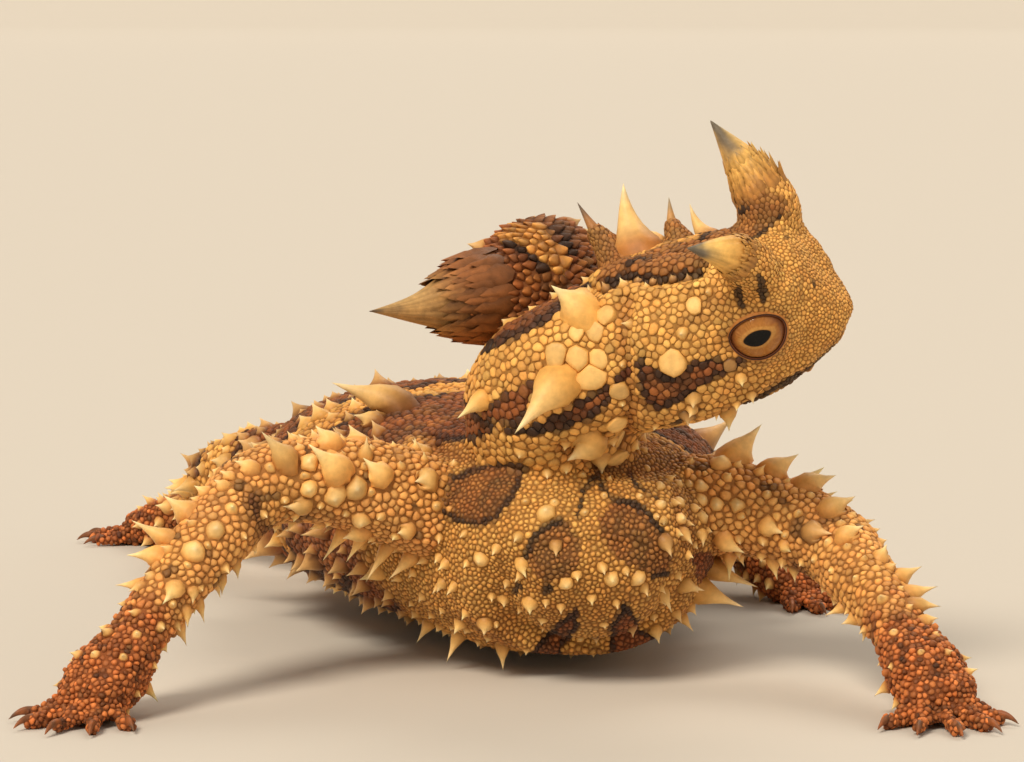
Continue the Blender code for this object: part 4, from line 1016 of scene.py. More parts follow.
@dataclass
class Skin:
    """The one hide under all the scales."""

    body: Anatomy
    voxel: float = 0.43
    points: Array = None
    normals: Array = None
    faces: Array = None
    part: Array = None
    t: Array = None
    angle: Array = None

    def build(self) -> None:
        """Fuse the flesh, smooth it, shape the folds and add the lids."""
        form = Form(self.body)
        form.tube(Part.HEAD, 0.0, 0.3)
        form.tube(Part.NECK, 0.0, 0.5)
        form.tube(Part.TRUNK, 2.2, 0.3)
        for part in ARMS + LEGS:
            form.tube(part, 0.4, 1.4)
            for index, toe in enumerate(self.body.toes(part)):
                form.toe(part, index, *toe)
        form.ball(Part.KNOB, KNOB_MIDDLE, np.array((KNOB_ACROSS, KNOB_DEEP, KNOB_ALONG)),
                  (KNOB_WIDTH - form.depth, KNOB_DEPTH - form.depth, KNOB_LONG - form.depth))
        for index, horn_side in enumerate((-1, 1)):
            form.boss(Part.HEAD, self.body.horn_tube(horn_side), HORN_BOSS, HORN_T + ROOT_STEP * index,
                      -0.05)
            form.boss(Part.KNOB, self.body.knob_tube(horn_side), KNOB_BOSS, KNOB_T + ROOT_STEP * index)
        self.add_crest(form)
        mesh = form.fuse(self.voxel)
        self.points = pull(mesh.vertices, "co", np.float32, 3).astype(float)
        total = pull(mesh.polygons, "loop_total", np.int32, 1)
        corners = pull(mesh.loops, "vertex_index", np.int32, 1)
        if not (total == 4).all():
            raise ValueError("the fused skin has faces that aren't of four corners")
        self.faces = corners.reshape(-1, 4)
        edges = pull(mesh.edges, "vertices", np.int32, 2)
        bpy.data.meshes.remove(mesh)
        for _ in range(4):
            self.relax(edges, 0.5)
            self.relax(edges, -0.5)
        self.relax(edges, 0.35)
        self.name_points(form)
        self.find_normals()
        self.sculpt()
        self.relax(edges, 0.2)
        self.find_normals()
        self.points[:, 2] = np.maximum(self.points[:, 2], 0.03)

    def add_crest(self, form: Form) -> None:
        """Add the swelling of the forehead and the fleshy roots of the crest spines.

        Args:
            form: the shapes to add to.
        """
        for place, sizes in BROWS:
            form.ball(Part.HEAD, self.body.head_place(*place), self.body.head_axes, sizes)
        for index, (root, tip, radius, dark) in enumerate(GREAT_SPINES):
            root, tip = np.array(root), np.array(tip)
            rough = dark > 0.2
            lean = np.array((1.1 if rough else 0.0, 0.0, 0.0))
            rows = [(*(root + (tip - root) * u + lean * (0.45 - u)), *(radius * w,) * 3)
                    for u, w in CREST_ROOTS[0 if rough else 1]]
            form.boss(Part.HEAD, Tube(rows, (tuple(self.body.left),)), 5.0, CREST_T + ROOT_STEP * index, 0.0)

    def relax(self, edges: Array, share: float) -> None:
        """Move each point some way toward the middle of its neighbours.

        Args:
            edges: pairs of neighbours.
            share: how much of the way, less than zero to swell.
        """
        n = len(self.points)
        a, b = edges[:, 0], edges[:, 1]
        count = np.bincount(a, minlength=n) + np.bincount(b, minlength=n)
        middle = np.stack([(np.bincount(a, self.points[b, k], n) + np.bincount(b, self.points[a, k], n))
                           for k in range(3)], -1) / np.maximum(count, 1)[:, None]
        self.points += (middle - self.points) * share

    def name_points(self, form: Form) -> None:
        """Give each skin point the tube, t and angle of the flesh under it.

        Args:
            form: the shapes that were fused.
        """
        source = np.concatenate(form.points)
        marks = np.concatenate(form.marks)
        tree = finder(source)
        nearest = np.array([tree.find(p)[1] for p in self.points.tolist()])
        self.part = marks[nearest, 0].astype(int)
        self.t = marks[nearest, 1]
        self.angle = marks[nearest, 2]

    def find_normals(self) -> None:
        """Find the outward direction at every point."""
        f, p = self.faces, self.points
        face = np.cross(p[f[:, 2]] - p[f[:, 0]], p[f[:, 3]] - p[f[:, 1]])
        self.normals = unit(np.stack([sum(np.bincount(f[:, k], face[:, a], len(p)) for k in range(4))
                                      for a in range(3)], -1))

    def sculpt(self) -> None:
        """Shape folds, brows, sockets, mouth line, nostrils and ear pits."""
        p, n = self.points, self.normals
        move = 0.16 * fractal(p, 3.2, 3)
        limb = self.part >= Part.ARM_RIGHT
        move += np.where(limb, 0.42 * smooth(4.8, 6.4, self.t) * fractal(p, 1.7, 7), 0.0)
        trunk = (self.part == Part.TRUNK) & (self.t < TAIL_FROM)
        move += np.where(trunk, 0.3 * fractal(p, 6.0, 5), 0.0)
        h = self.body.head_coords(p)
        head = self.part == Part.HEAD
        for side in (-1, 1):
            brow = np.exp(-((h[:, 0] + 6.2) / 3.2) ** 2 - ((h[:, 1] - side * 4.9) / 1.3) ** 2
                          - ((h[:, 2] - 5.9) / 1.1) ** 2)
            cheek = np.exp(-((h[:, 0] + 13.5) / 3.5) ** 2 - ((h[:, 1] - side * 7.0) / 2.0) ** 2
                           - ((h[:, 2] + 3.0) / 2.0) ** 2)
            muzzle = np.exp(-((h[:, 0] + 2.2) / 1.5) ** 2 - ((h[:, 1] - side * 2.2) / 1.2) ** 2
                            - ((h[:, 2] - 2.0) / 1.2) ** 2)
            move += np.where(head, 0.45 * brow + 0.4 * cheek + 0.25 * muzzle, 0.0)
            for place, radius, deep in ((NOSTRIL_AT, 0.42, 0.6), (EAR_AT, 0.8, 0.7)):
                off = h - np.array((place[0], side * place[1], place[2]))
                move -= np.where(dot(off, off) < 9, deep * np.exp(-dot(off, off) / radius ** 2), 0.0)
            line = self.body.mouth_line(side)
            far = np.full(len(p), 9.0)
            near = head & (h[:, 2] < 0.5)
            far[near] = path_distance(h[near], line)
            move -= 0.4 * np.exp(-(far / 0.34) ** 2)
        across, down, _ = PLATE.see(p)
        facing = dot(n, -PLATE.ahead) > 0.0
        front = facing & (p[:, 1] < 12)
        for line, wide, deep in FOLDS:
            far = line_distance(across, down, line) / PLATE.scale
            near = np.where(front & np.isin(self.part, (Part.HEAD, Part.NECK, Part.TRUNK)), 1.0, 0.0)
            move -= near * deep * np.exp(-(far / wide) ** 2)
            move += near * 0.45 * deep * np.exp(-((far - 2.2 * wide) / wide) ** 2)
        self.points = p + n * move[:, None]
        for side in (-1, 1):
            centre, along, up, out = self.body.eye(side)
            off = self.points - centre
            c = off @ out
            beyond, rim = self.body.beyond_lid(off, along, up)
            near = (c > -1.5) & (c < 4.5) & (beyond < 2.2)
            inner = rim * smooth(-0.5, -0.02, beyond)
            wanted = np.where(beyond < 0, inner, rim + (c - rim) * smooth(-0.3, 2.2, beyond))
            self.points = self.points + out * np.where(near, wanted - c, 0.0)[:, None]


@dataclass
class Lids:
    """The smooth rolled rim round each eye, with the soft lid behind it."""

    body: Anatomy
    steps: int = 96
    profile: tuple = ((0.00, -0.20), (-0.02, 0.02), (0.01, 0.10), (0.05, 0.14), (0.10, 0.14), (0.15, 0.09),
                      (0.19, 0.10), (0.24, 0.07), (0.30, 0.0), (0.40, -0.25))
    tones: tuple = (BLACK, BLACK, UMBER, RUST, UMBER, BLACK, UMBER, OCHRE, OCHRE, OCHRE)

    def rings(self, side: int) -> list:
        """Rings of places from the opening outward.

        Args:
            side: -1 for the right eye, 1 for the left.

        Returns:
            one ring for each row of the profile.
        """
        centre, along, up, out = self.body.eye(side)
        phi = np.arange(self.steps) * TAU / self.steps
        a, b = LID_OPENING
        made = []
        for far, lift in self.profile:
            ray = np.cos(phi)[:, None] * along * (a + far) + np.sin(phi)[:, None] * up * (b + far)
            edge = np.cos(phi)[:, None] * along * a + np.sin(phi)[:, None] * up * b
            hug = np.sqrt(np.maximum(EYE_RADIUS ** 2 - dot(edge, edge), 0.05))
            made.append(centre + ray + out * (hug + lift + 0.25 * far)[:, None])
        return made


# ---------------------------------------------------------------- colours of the hide
@dataclass
class Hide:
    """Works out the colour of the hide at any place on it."""

    body: Anatomy

    def front_marks(self, x: Array, y: Array, warp: Array, marks: tuple, lines: tuple) -> tuple:
        """Shares of fill and of black from outlines and lines on the plate.

        Args:
            x: across on the plate.
            y: down on the plate.
            warp: unevenness of the edges in plate steps.
            marks: outlines with their border widths.
            lines: black lines with their half widths.

        Returns:
            share of the dark fill and share of black, each N numbers.
        """
        fill, black = np.zeros(len(x)), np.zeros(len(x))
        for outline, border, strength in marks:
            far = outline_distance(x, y, outline) + warp
            fill = np.maximum(fill, (1 - smooth(-1.0, 1.4, far)) * strength)
            black = np.maximum(black, (1 - smooth(border - 1.2, border + 1.8, np.abs(far + border * 0.7)))
                               * (0.9 if border > 1.2 else 0.2))
        for line, wide in lines:
            far = line_distance(x, y, line) + warp * 0.6
            black = np.maximum(black, 1 - smooth(wide - 1.4, wide + 1.4, far))
        return fill, black

    def body_pattern(self, p: Array, part: Array, t: Array, angle: Array) -> tuple:
        """Shares of dark fill and of black where the front plate doesn't reach.

        Args:
            p: places in millimetres, N by 3.
            part: length of flesh of each place.
            t: place along that length.
            angle: place round it.

        Returns:
            two lists of N shares.
        """
        n = len(p)
        fill, black = np.zeros(n), np.zeros(n)
        warp = 1.1 * fractal(p, 4.0, 21) + 0.35 * noise(p, 0.8, 24)
        off_top = from_top(angle)
        trunk = part == Part.TRUNK
        wide = self.body.tubes[Part.TRUNK].values(t)[:, 3]
        arc = np.radians(off_top) * wide
        along = t + 0.12 * np.sin(np.radians(off_top) * 2.0)
        phase = np.abs((along / 1.9 + 0.18) % 1.0 - 0.5) * 1.9
        spacing = np.where(t < TAIL_FROM, 9.5, 8.5)
        stripe = arc - 1.5
        band = phase * spacing - np.where(off_top < 78, 1.7, 0.5)
        lateral = np.abs(arc - np.radians(80) * wide) - np.where(t < TAIL_FROM, 1.3, 0.3)
        pale = np.minimum(np.minimum(stripe, band), lateral) + warp
        belly = off_top > 118
        spots = 3.6 * (noise(p, 5.5, 41) - 0.28) * -1.0 + warp * 0.4
        pale = np.where(belly, -spots, pale)
        dark = smooth(-0.2, 0.5, np.where(belly, -pale - 0.2, pale))
        edge = 1 - smooth(0.25, 0.75, np.abs(np.where(belly, -pale - 0.5, pale) - 0.75))
        fill = np.where(trunk, dark, fill)
        black = np.where(trunk, edge * 0.85, black)
        legs = np.isin(part, LEGS)
        arms = np.isin(part, ARMS)
        cell = np.abs((t / 1.7 + 0.35) % 1.0 - 0.5) * 1.7 * 5.0
        limb = cell - 2.1 + warp * 1.2 + np.where(off_top > 95, 3.0, 0.0)
        fill = np.where(legs, 1 - smooth(-0.2, 0.5, limb), fill)
        black = np.where(legs, (1 - smooth(0.2, 0.6, np.abs(limb + 0.45))) * 0.8, black)
        behind = arms & (p[:, 1] > 2.5)
        spot = 2.2 * (noise(p, 4.5, 33) - 0.38) + warp * 0.3
        fill = np.where(behind, smooth(-0.2, 0.4, spot), fill)
        black = np.where(behind, 1 - smooth(0.1, 0.5, np.abs(spot - 0.4)), black)
        neck = np.isin(part, (Part.NECK, Part.HEAD))
        spot = 2.6 * (noise(p, 5.0, 35) - 0.18) + warp * 0.3
        spot = spot - np.where(part == Part.HEAD, 4.0 * smooth(3.2, 4.2, t), 0.0)
        fill = np.where(neck, smooth(-0.2, 0.4, spot), fill)
        black = np.where(neck, (1 - smooth(0.1, 0.6, np.abs(spot - 0.5))) * 0.8, black)
        return fill, black

    def colour(self, p: Array, normals: Array, part: Array, t: Array, angle: Array) -> tuple:
        """Colour of the hide, painted shade included, and how dark its marking is.

        Args:
            p: places in millimetres.
            normals: outward directions there.
            part: length of flesh of each place.
            t: place along that length.
            angle: place round it.

        Returns:
            N by 3 colours, and N numbers from 0 for pale to 1 for dark.
        """
        x, y, _ = PLATE.see(p)
        facing = dot(normals, -PLATE.ahead)
        warp = 1.5 * fractal(p, 1.1, 51) + 1.2 * noise(p, 0.45, 57)
        back_fill, back_black = self.body_pattern(p, part, t, angle)
        arms = np.isin(part, ARMS)
        front = smooth(-0.12, 0.12, facing) * (1 - smooth(10.0, 14.0, p[:, 1]))
        fill, black = np.zeros(len(p)), np.zeros(len(p))
        for parts, marks, lines in (((Part.HEAD,), HEAD_MARKS, HEAD_LINES), ((Part.NECK, Part.TRUNK, Part.HEAD),
                                    NECK_MARKS, ()), ((Part.TRUNK, Part.NECK), CHEST_MARKS, CHEST_LINES),
                                    ((Part.KNOB,), (), KNOB_SPOTS)):
            here = np.isin(part, parts) if parts[0] != Part.TRUNK else np.isin(part, parts) & (p[:, 1] < 9)
            more, darker = self.front_marks(x[here], y[here], warp[here], marks, lines)
            fill[here], black[here] = np.maximum(fill[here], more), np.maximum(black[here], darker)
        specks = (noise(p, 1.3, 61) > 0.62) & arms
        black = np.where(specks, 0.7, black)
        fill = fill * front + back_fill * (1 - front)
        black = black * front + back_black * (1 - front)
        knob = part == Part.KNOB
        band = outline_distance(x, y, KNOB_BAND) + warp
        pale_band = (1 - smooth(-0.8, 1.0, band)) * front
        mirror = (np.abs((p - KNOB_MIDDLE) @ KNOB_ACROSS) < 1.2 + 0.4 * warp) & (facing < 0)
        fill = np.where(knob, (1 - pale_band) * np.where(mirror, 0.1, 0.95), fill)
        roots = np.where((part == Part.HEAD) & (t > CREST_FLOOR), (t - CREST_FLOOR) // ROOT_STEP, -1).astype(int)
        rough = np.array([*(spine[3] > 0.2 for spine in GREAT_SPINES), False])[roots]
        fill = np.where(roots >= 0, np.where(rough, 0.72, 0.0), fill)
        black = np.where(roots >= 0, 0.0, black)
        base = mix(SAND, STRAW, 0.5 + 0.5 * fractal(p, 2.6, 71))
        base = mix(base, OCHRE, 0.55 * smooth(0.05, 0.8, fractal(p, 5.5, 77)))
        # painted shade: the hide is darker where it faces down
        low = smooth(0.15, 0.8, -normals[:, 2])
        base = mix(base, OCHRE * 0.85, 0.35 * low)
        arm_share = np.where(arms, 0.5 * (1 - smooth(5.5, 7.0, t)), 0.0)
        base = mix(base, PEACH, arm_share * (0.7 + 0.3 * noise(p, 3.4, 73)))
        # painted shadow of the head: the hide of the chest is darkened
        chest = (part == Part.TRUNK) & (p[:, 1] < 12)
        base = base * np.where(chest, 0.88, 1.0)[:, None]
        cheek = np.isin(part, (Part.HEAD, Part.NECK)) & (facing > 0)
        base = np.where(cheek[:, None], mix(base, STRAW, np.full(len(p), 0.3)), base)
        dark = mix(RUST, UMBER, smooth(-0.2, 0.7, fractal(p, 1.6, 81)))
        dark = mix(dark, OCHRE, 0.4 * smooth(0.2, 0.8, fractal(p, 2.2, 85)))
        made = mix(base, dark, np.clip(fill, 0, 1) * 0.93)
        made = mix(made, BLACK, np.clip(black, 0, 1) * 0.92)
        made = self.face(made, p, part)
        # painted shade in the creases of the folds, from the third fold on
        crease_shade = np.full(len(p), 99.0)
        for line, wide, _ in FOLDS[2:]:
            crease_shade = np.minimum(crease_shade, line_distance(x, y, line) / (wide * PLATE.scale))
        crease_shade = np.exp(-crease_shade ** 2) * front * (part <= Part.TRUNK)
        made = mix(made, RUST, 0.5 * crease_shade)
        # painted shade in the hollows that HOLLOWS lists
        made = mix(made, UMBER * 1.4, hollow_share(x, y) * front * (part != Part.KNOB))
        limb = part >= Part.ARM_RIGHT
        dusty = np.where(limb, smooth(4.5, 6.4, t + 0.8 * fractal(p, 2.0, 91) + 0.35 * noise(p, 0.5, 93)), 0.0)
        grit = mix(DUST, RUST, smooth(0.0, 0.7, noise(p, 0.6, 95)))
        grit = mix(grit, UMBER, 0.8 * smooth(0.35, 0.8, noise(p, 0.9, 97)))
        made = mix(made, grit, dusty * 0.94)
        return made, np.clip(np.maximum(fill * 0.8, black), 0, 1) * (1 - dusty)

    def face(self, made: Array, p: Array, part: Array) -> Array:
        """Paint shade into the mouth line, nostrils and ear pits, and darken the skin by the eyes.

        Args:
            made: colours so far, N by 3.
            p: places in millimetres, N by 3.
            part: length of flesh of each place.

        Returns:
            the darkened colours.
        """
        head = part == Part.HEAD
        h = self.body.head_coords(p[head])
        shade = np.zeros(len(h))
        for side in (-1, 1):
            far = path_distance(h, self.body.mouth_line(side))
            shade = np.maximum(shade, 0.85 * np.exp(-(far / 0.3) ** 2))
            for place, radius in ((NOSTRIL_AT, 0.42), (EAR_AT, 0.7)):
                off = h - np.array((place[0], side * place[1], place[2]))
                shade = np.maximum(shade, 0.92 * np.exp(-dot(off, off) / radius ** 2))
            centre, along, up, out = self.body.eye(side)
            off = p[head] - centre
            beyond, _ = self.body.beyond_lid(off, along, up)
            shade = np.maximum(shade, 0.32 * (1 - smooth(0.3, 1.5, beyond)) * (off @ out > 0))
        made[head] = mix(made[head], UMBER, shade)
        return made


# ---------------------------------------------------------------- scales and spines
@dataclass
class Sites:
    """Places of scales and spines on the hide."""

    place: Array
    normal: Array
    radius: Array
    part: Array
    t: Array
    angle: Array

    def pick(self, which: Array) -> "Sites":
        """The sites that which names."""
        return Sites(*(getattr(self, k)[which] for k in ("place", "normal", "radius", "part", "t", "angle")))

    @staticmethod
    def join(sets: list) -> "Sites":
        """Put sets of sites after each other."""
        return Sites(*(np.concatenate([getattr(s, k) for s in sets])
                       for k in ("place", "normal", "radius", "part", "t", "angle")))


@dataclass
class Sower:
    """Spreads sites evenly over the skin, large ones first."""

    skin: Skin
    body: Anatomy
    seed: int = 7
    density: float = 7.0
    vary: float = 0.16
    widest: float = 0.75
    pool: Sites = None
    tree: kdtree.KDTree = None
    alive: Array = None

    def spacing(self, p: Array, part: Array, t: Array, angle: Array, normals: Array) -> Array:
        """Width of a small scale at each place, in millimetres.

        Args:
            p: places in millimetres, N by 3.
            part: length of flesh of each place.
            t: place along that length.
            angle: place round it.
            normals: outward directions there.

        Returns:
            N widths.
        """
        h = self.body.head_coords(p)
        size = np.full(len(p), 0.80)
        off_top = from_top(angle)
        trunk = part == Part.TRUNK
        size = np.where(trunk, 0.80 - 0.24 * smooth(95, 130, off_top), size)
        size = np.where(trunk & (p[:, 1] < 10), 0.46, size)
        size = np.where(trunk & (t > TAIL_FROM), 0.92 - 0.5 * smooth(12.5, 17, t), size)
        snout = smooth(-13.0, -3.0, h[:, 0])
        size = np.where(part == Part.HEAD, 0.66 - 0.30 * snout, size)
        size = np.where((part == Part.HEAD) & (t > 8), 0.40, size)
        size = np.where(part == Part.NECK, 0.72, size)
        size = np.where(part == Part.KNOB, 0.86, size)
        arms = np.isin(part, ARMS)
        legs = np.isin(part, LEGS)
        size = np.where(arms, 0.70 - 0.2 * smooth(4.6, 7.0, t), size)
        size = np.where(legs, 0.80 - 0.26 * smooth(4.6, 7.0, t), size)
        across, down, _ = PLATE.see(p)
        size = size * np.where(arms & (dot(normals, -PLATE.ahead) > -0.2), 1 - 0.5 * hollow_share(across, down), 1.0)
        low = smooth(0.2, 0.9, -normals[:, 2]) * (part >= Part.ARM_RIGHT)
        coarse = 1 + 0.22 * smooth(0.1, 0.7, noise(p, 2.2, 17)) * (part == Part.NECK)
        return 0.84 * size * coarse * (1 - 0.15 * low) * (1 + 0.1 * noise(p, 4.0, 11))

    def fill_pool(self) -> None:
        """Spread the random places from which all sites are chosen."""
        s = self.skin
        rng = np.random.default_rng(self.seed)
        tri = np.concatenate((s.faces[:, (0, 1, 2)], s.faces[:, (0, 2, 3)]))
        p = s.points[tri]
        area = np.linalg.norm(np.cross(p[:, 1] - p[:, 0], p[:, 2] - p[:, 0]), axis=1) / 2
        size = self.spacing(s.points, s.part, s.t, s.angle, s.normals)
        weight = area / size[tri[:, 0]] ** 2
        total = int(weight.sum() / 0.866 * self.density)
        index = np.searchsorted(np.cumsum(weight) / weight.sum(), rng.random(total))
        index = np.minimum(index, len(tri) - 1)
        u, v = rng.random(total), rng.random(total)
        flip = u + v > 1
        u, v = np.where(flip, 1 - u, u), np.where(flip, 1 - v, v)
        share = np.stack((1 - u - v, u, v), -1)[..., None]
        corner = tri[index]
        first = corner[:, 0]
        wide = size[first] * 0.5 * np.exp(self.vary * np.clip(rng.standard_normal(total), -1.6, 2.4))
        self.pool = Sites((s.points[corner] * share).sum(1), unit((s.normals[corner] * share).sum(1)), wide,
                          s.part[first], s.t[first], s.angle[first])
        self.tree = finder(self.pool.place)
        self.alive = np.ones(total, bool)
        for side in (-1, 1):
            centre, along, up, out = self.body.eye(side)
            off = self.pool.place - centre
            beyond, _ = self.body.beyond_lid(off, along, up)
            self.alive &= ~((beyond < 0.27) & (off @ out > -2) & (np.linalg.norm(off, axis=1) < 4.5))
        LOG.info("pool of %d places", total)

    def claim(self, place: Array, radius: float) -> None:
        """Keep small sites off the foot of a larger one.

        Args:
            place: middle of the larger foot.
            radius: half its width.
        """
        for _, k, far in self.tree.find_range(place, radius + self.widest):
            if far < radius + self.pool.radius[k]:
                self.alive[k] = False

    def sow(self, order: Array, radius: Array, slack: float = 0.92) -> Array:
        """Choose places in the given order so that none crowds another.

        Args:
            order: places of the pool to try, in turn.
            radius: half the spacing at each place of the pool.
            slack: how close two may come, as a share.

        Returns:
            the chosen places of the pool.
        """
        alive = self.alive.tolist()
        wide = radius.tolist()
        places = self.pool.place.tolist()
        widest = float(radius.max())
        chosen = []
        find = self.tree.find_range
        for k in order.tolist():
            if not alive[k]:
                continue
            chosen.append(k)
            mine = wide[k]
            for _, other, far in find(places[k], (mine + min(widest, mine * 1.7)) * slack):
                if far < (mine + wide[other]) * slack:
                    alive[other] = False
        return np.array(chosen, int)

    def settle(self, chosen: Array, share: float = 0.65) -> Sites:
        """Move chosen sites toward the middle of the ground that is nearest to them.

        Args:
            chosen: places of the pool.
            share: how much of the way they move.

        Returns:
            the moved sites.
        """
        tree = finder(self.pool.place[chosen])
        left = np.nonzero(self.alive)[0]
        owner = np.array([tree.find(q)[1] for q in self.pool.place[left].tolist()])
        count = np.maximum(np.bincount(owner, minlength=len(chosen)), 1)[:, None]
        place = np.stack([np.bincount(owner, self.pool.place[left, a], len(chosen)) for a in range(3)], -1) / count
        normal = np.stack([np.bincount(owner, self.pool.normal[left, a], len(chosen)) for a in range(3)], -1)
        old = self.pool.pick(chosen)
        near = np.linalg.norm(place - old.place, axis=1) < old.radius * 1.5
        moved = np.where(near[:, None], old.place + (place - old.place) * share, old.place)
        return Sites(moved, np.where(near[:, None], unit(normal), old.normal), old.radius, old.part, old.t, old.angle)


@dataclass
class Cones:
    """Spines of any size: where they stand, where they point and how dark they are."""

    sites: Sites
    length: Array
    lean: Array
    dark: Array
    axis: Array
    kind: Array

    @staticmethod
    def join(sets: list) -> "Cones":
        """Put sets of cones after each other."""
        rest = (np.concatenate([getattr(c, k) for c in sets]) for k in ("length", "lean", "dark", "axis", "kind"))
        return Cones(Sites.join([c.sites for c in sets]), *rest)

    def pick(self, which: Array) -> "Cones":
        """The cones that which names."""
        return Cones(self.sites.pick(which), self.length[which], self.lean[which], self.dark[which],
                     self.axis[which], self.kind[which])


@dataclass
class SpinePlan:
    """Sets out all spines: the great ones by name, the rows by rule and the small ones by chance."""

    skin: Skin
    body: Anatomy
    sower: Sower
    hide: Hide
    rows: list = field(default_factory=list)
    tree: kdtree.KDTree = None
    front: Array = None

    @staticmethod
    def over_bare_back(places: Array) -> Array:
        """Tell which places the plate shows before the bare ground behind the neck."""
        x, y, _ = PLATE.see(places)
        return (outline_distance(x, y, BARE_BACK) < 0) & (places[:, 1] < BARE_DEPTH) & (places[:, 2] > BARE_HEIGHT)

    def add(self, root: Array, out: Array, length: float, radius: float, dark: float, bend: Array = None,
            kind: Kind = Kind.CONE, reach: float = 1.1, ruled: bool = False) -> None:
        """Note one spine if its root is on the outer skin.

        Args:
            root: where it starts.
            out: where it points.
            length: how long it is.
            radius: half the width of its foot.
            dark: 0 for pale, 1 for dark, less than 0 for the hide's own.
            bend: shift of its tip.
            kind: its shape.
            reach: how far the root may be from the skin.
            ruled: whether it comes from a rule, which the named spines of the front overrule.
        """
        _, k, far = self.tree.find(root)
        if far > reach + radius * 0.6 or (ruled and self.front[k]):
            return
        if ruled:
            x, y, _ = PLATE.see((root + unit(out) * length)[None])
            if outline_distance(x, y, BEHIND_CHIN)[0] < 0 and root[1] < BARE_DEPTH and self.skin.part[k] != Part.HEAD:
                return
            if outline_distance(x, y, OPEN_AIR)[0] < 0 and root[1] < AIR_DEPTH:
                length, radius = length * 0.42, radius * 0.75
        s = self.skin
        axis = unit(out)
        low = 0.14 - float(dot(axis, s.normals[k]))
        if low > 0:
            axis = unit(axis + s.normals[k] * (low + 0.05))
        self.rows.append((s.points[k], s.normals[k], radius, s.part[k], s.t[k], s.angle[k], length,
                          np.zeros(3) if bend is None else bend, dark, axis, kind))

    def on_tube(self, part: Part, places: list, sweep: float, backward: float, chance: np.random.Generator) -> None:
        """Set spines at t, degrees, length and radius on one tube.

        Args:
            part: the length of flesh.
            places: t, degrees, length and radius of each.
            sweep: how far they lean along the tube.
            backward: 1 to lean ahead, -1 to lean back.
            chance: source of small differences.
        """
        tube = self.body.tubes[part]
        for t, degrees, length, radius in places:
            angle = math.radians(degrees + chance.uniform(-4, 4))
            t = t + chance.uniform(-0.06, 0.06)
            root, out = tube.point(t, angle), tube.normal(t, angle)
            along = tube.axes(t)[0] * backward
            size = chance.uniform(0.86, 1.14)
            self.add(root - out * 0.2, out + along * sweep, length * size, radius, -1.0, along * 0.18 * length,
                     ruled=True)

    def from_plate(self, rows: tuple, parts: tuple, behind: float = 13.0, dark: float = -1.0) -> None:
        """Set spines whose base and tip are read on the front plate.

        Args:
            rows: base across and down, tip across and down, and radius.
            parts: lengths of flesh that may carry them.
            behind: how far back they may stand.
            dark: 0 for pale, 1 for dark, less than 0 for the hide's own.
        """
        s = self.skin
        x, y, _ = PLATE.see(s.points)
        usable = np.isin(s.part, parts) & (dot(s.normals, -PLATE.ahead) > -0.25) & (s.points[:, 1] < behind)
        index = np.nonzero(usable)[0]
        cost = 0.8 if behind < 14 else 0.1
        for bx, by, tx, ty, radius in rows:
            far = np.hypot(x[index] - bx, y[index] - by) + cost * (s.points[index, 1] - s.points[index, 1].min())
            k = index[np.argmin(far)]
            plane = (np.array((tx - x[k], 0.0, 0.0)) - PLATE.up * (ty - y[k])) / PLATE.scale
            toward = max(dot(s.normals[k], -PLATE.ahead), 0.0)
            long = float(np.linalg.norm(plane))
            low = long < radius * 0.8
            out = s.normals[k] * 1.0 + plane * 0.3 if low else plane - PLATE.ahead * toward * long * 0.6
            flat = s.part[k] in (Part.NECK, Part.HEAD)
            length = radius * (0.34 if flat else 0.95) if low else float(np.linalg.norm(out))
            self.add(s.points[k], out, length, radius, dark, plane * (0.0 if low else 0.1),
                     Kind.DOME if low else Kind.CONE)

    def knob_rows(self) -> None:
        """Note the lesser spines round the great ones of the knob."""
        for sign in (-1, 1):
            for a, b, c, length in KNOB_PLACES:
                ray = unit(np.array((a * sign, b, c)))
                root = (KNOB_MIDDLE + KNOB_ACROSS * ray[0] * KNOB_WIDTH + KNOB_DEEP * ray[1] * KNOB_DEPTH
                        + KNOB_ALONG * ray[2] * KNOB_LONG)
                self.add(root, KNOB_ACROSS * sign + unit(root - KNOB_MIDDLE) * 0.7, length, length * 0.5, 0.6,
                         ruled=True)

    def plate_rows(self) -> None:
        """Note every spine that is read on the front plate."""
        self.from_plate(HEAD_CONES, (Part.HEAD, Part.NECK))
        self.from_plate(BACK_CONES, (Part.TRUNK, Part.NECK), 34.0, 0.0)
        self.from_plate(FLANK_CONES, (Part.TRUNK,), 30.0, 0.0)
        self.from_plate(NECK_CONES, (Part.NECK, Part.HEAD))
        self.from_plate(CHEST_CONES, (Part.TRUNK, Part.ARM_RIGHT, Part.ARM_LEFT, Part.NECK))
        self.from_plate(ARM_RIGHT_CONES, (Part.ARM_RIGHT,))
        self.from_plate(ARM_LEFT_CONES, (Part.ARM_LEFT,))

    def trunk_rows(self, chance: np.random.Generator) -> None:
        """Note the rows of spines along the trunk.

        Args:
            chance: source of small differences.
        """
        trunk = []
        for k in range(TRUNK_RINGS):
            for n, (degrees, length, radius) in enumerate(TRUNK_ROWS):
                size = (1.0 if (k + n) % 2 == 0 else 0.72) * (0.8 if k >= 6 else 1.0)
                t = TRUNK_FIRST + TRUNK_STEP * k + (TRUNK_STAGGER if n % 2 else 0.0)
                trunk += [(t, a, length * size, radius * size) for a in sorted({degrees, 180 - degrees}) if t < 8.7]
        self.on_tube(Part.TRUNK, trunk, 0.35, 1.0, chance)

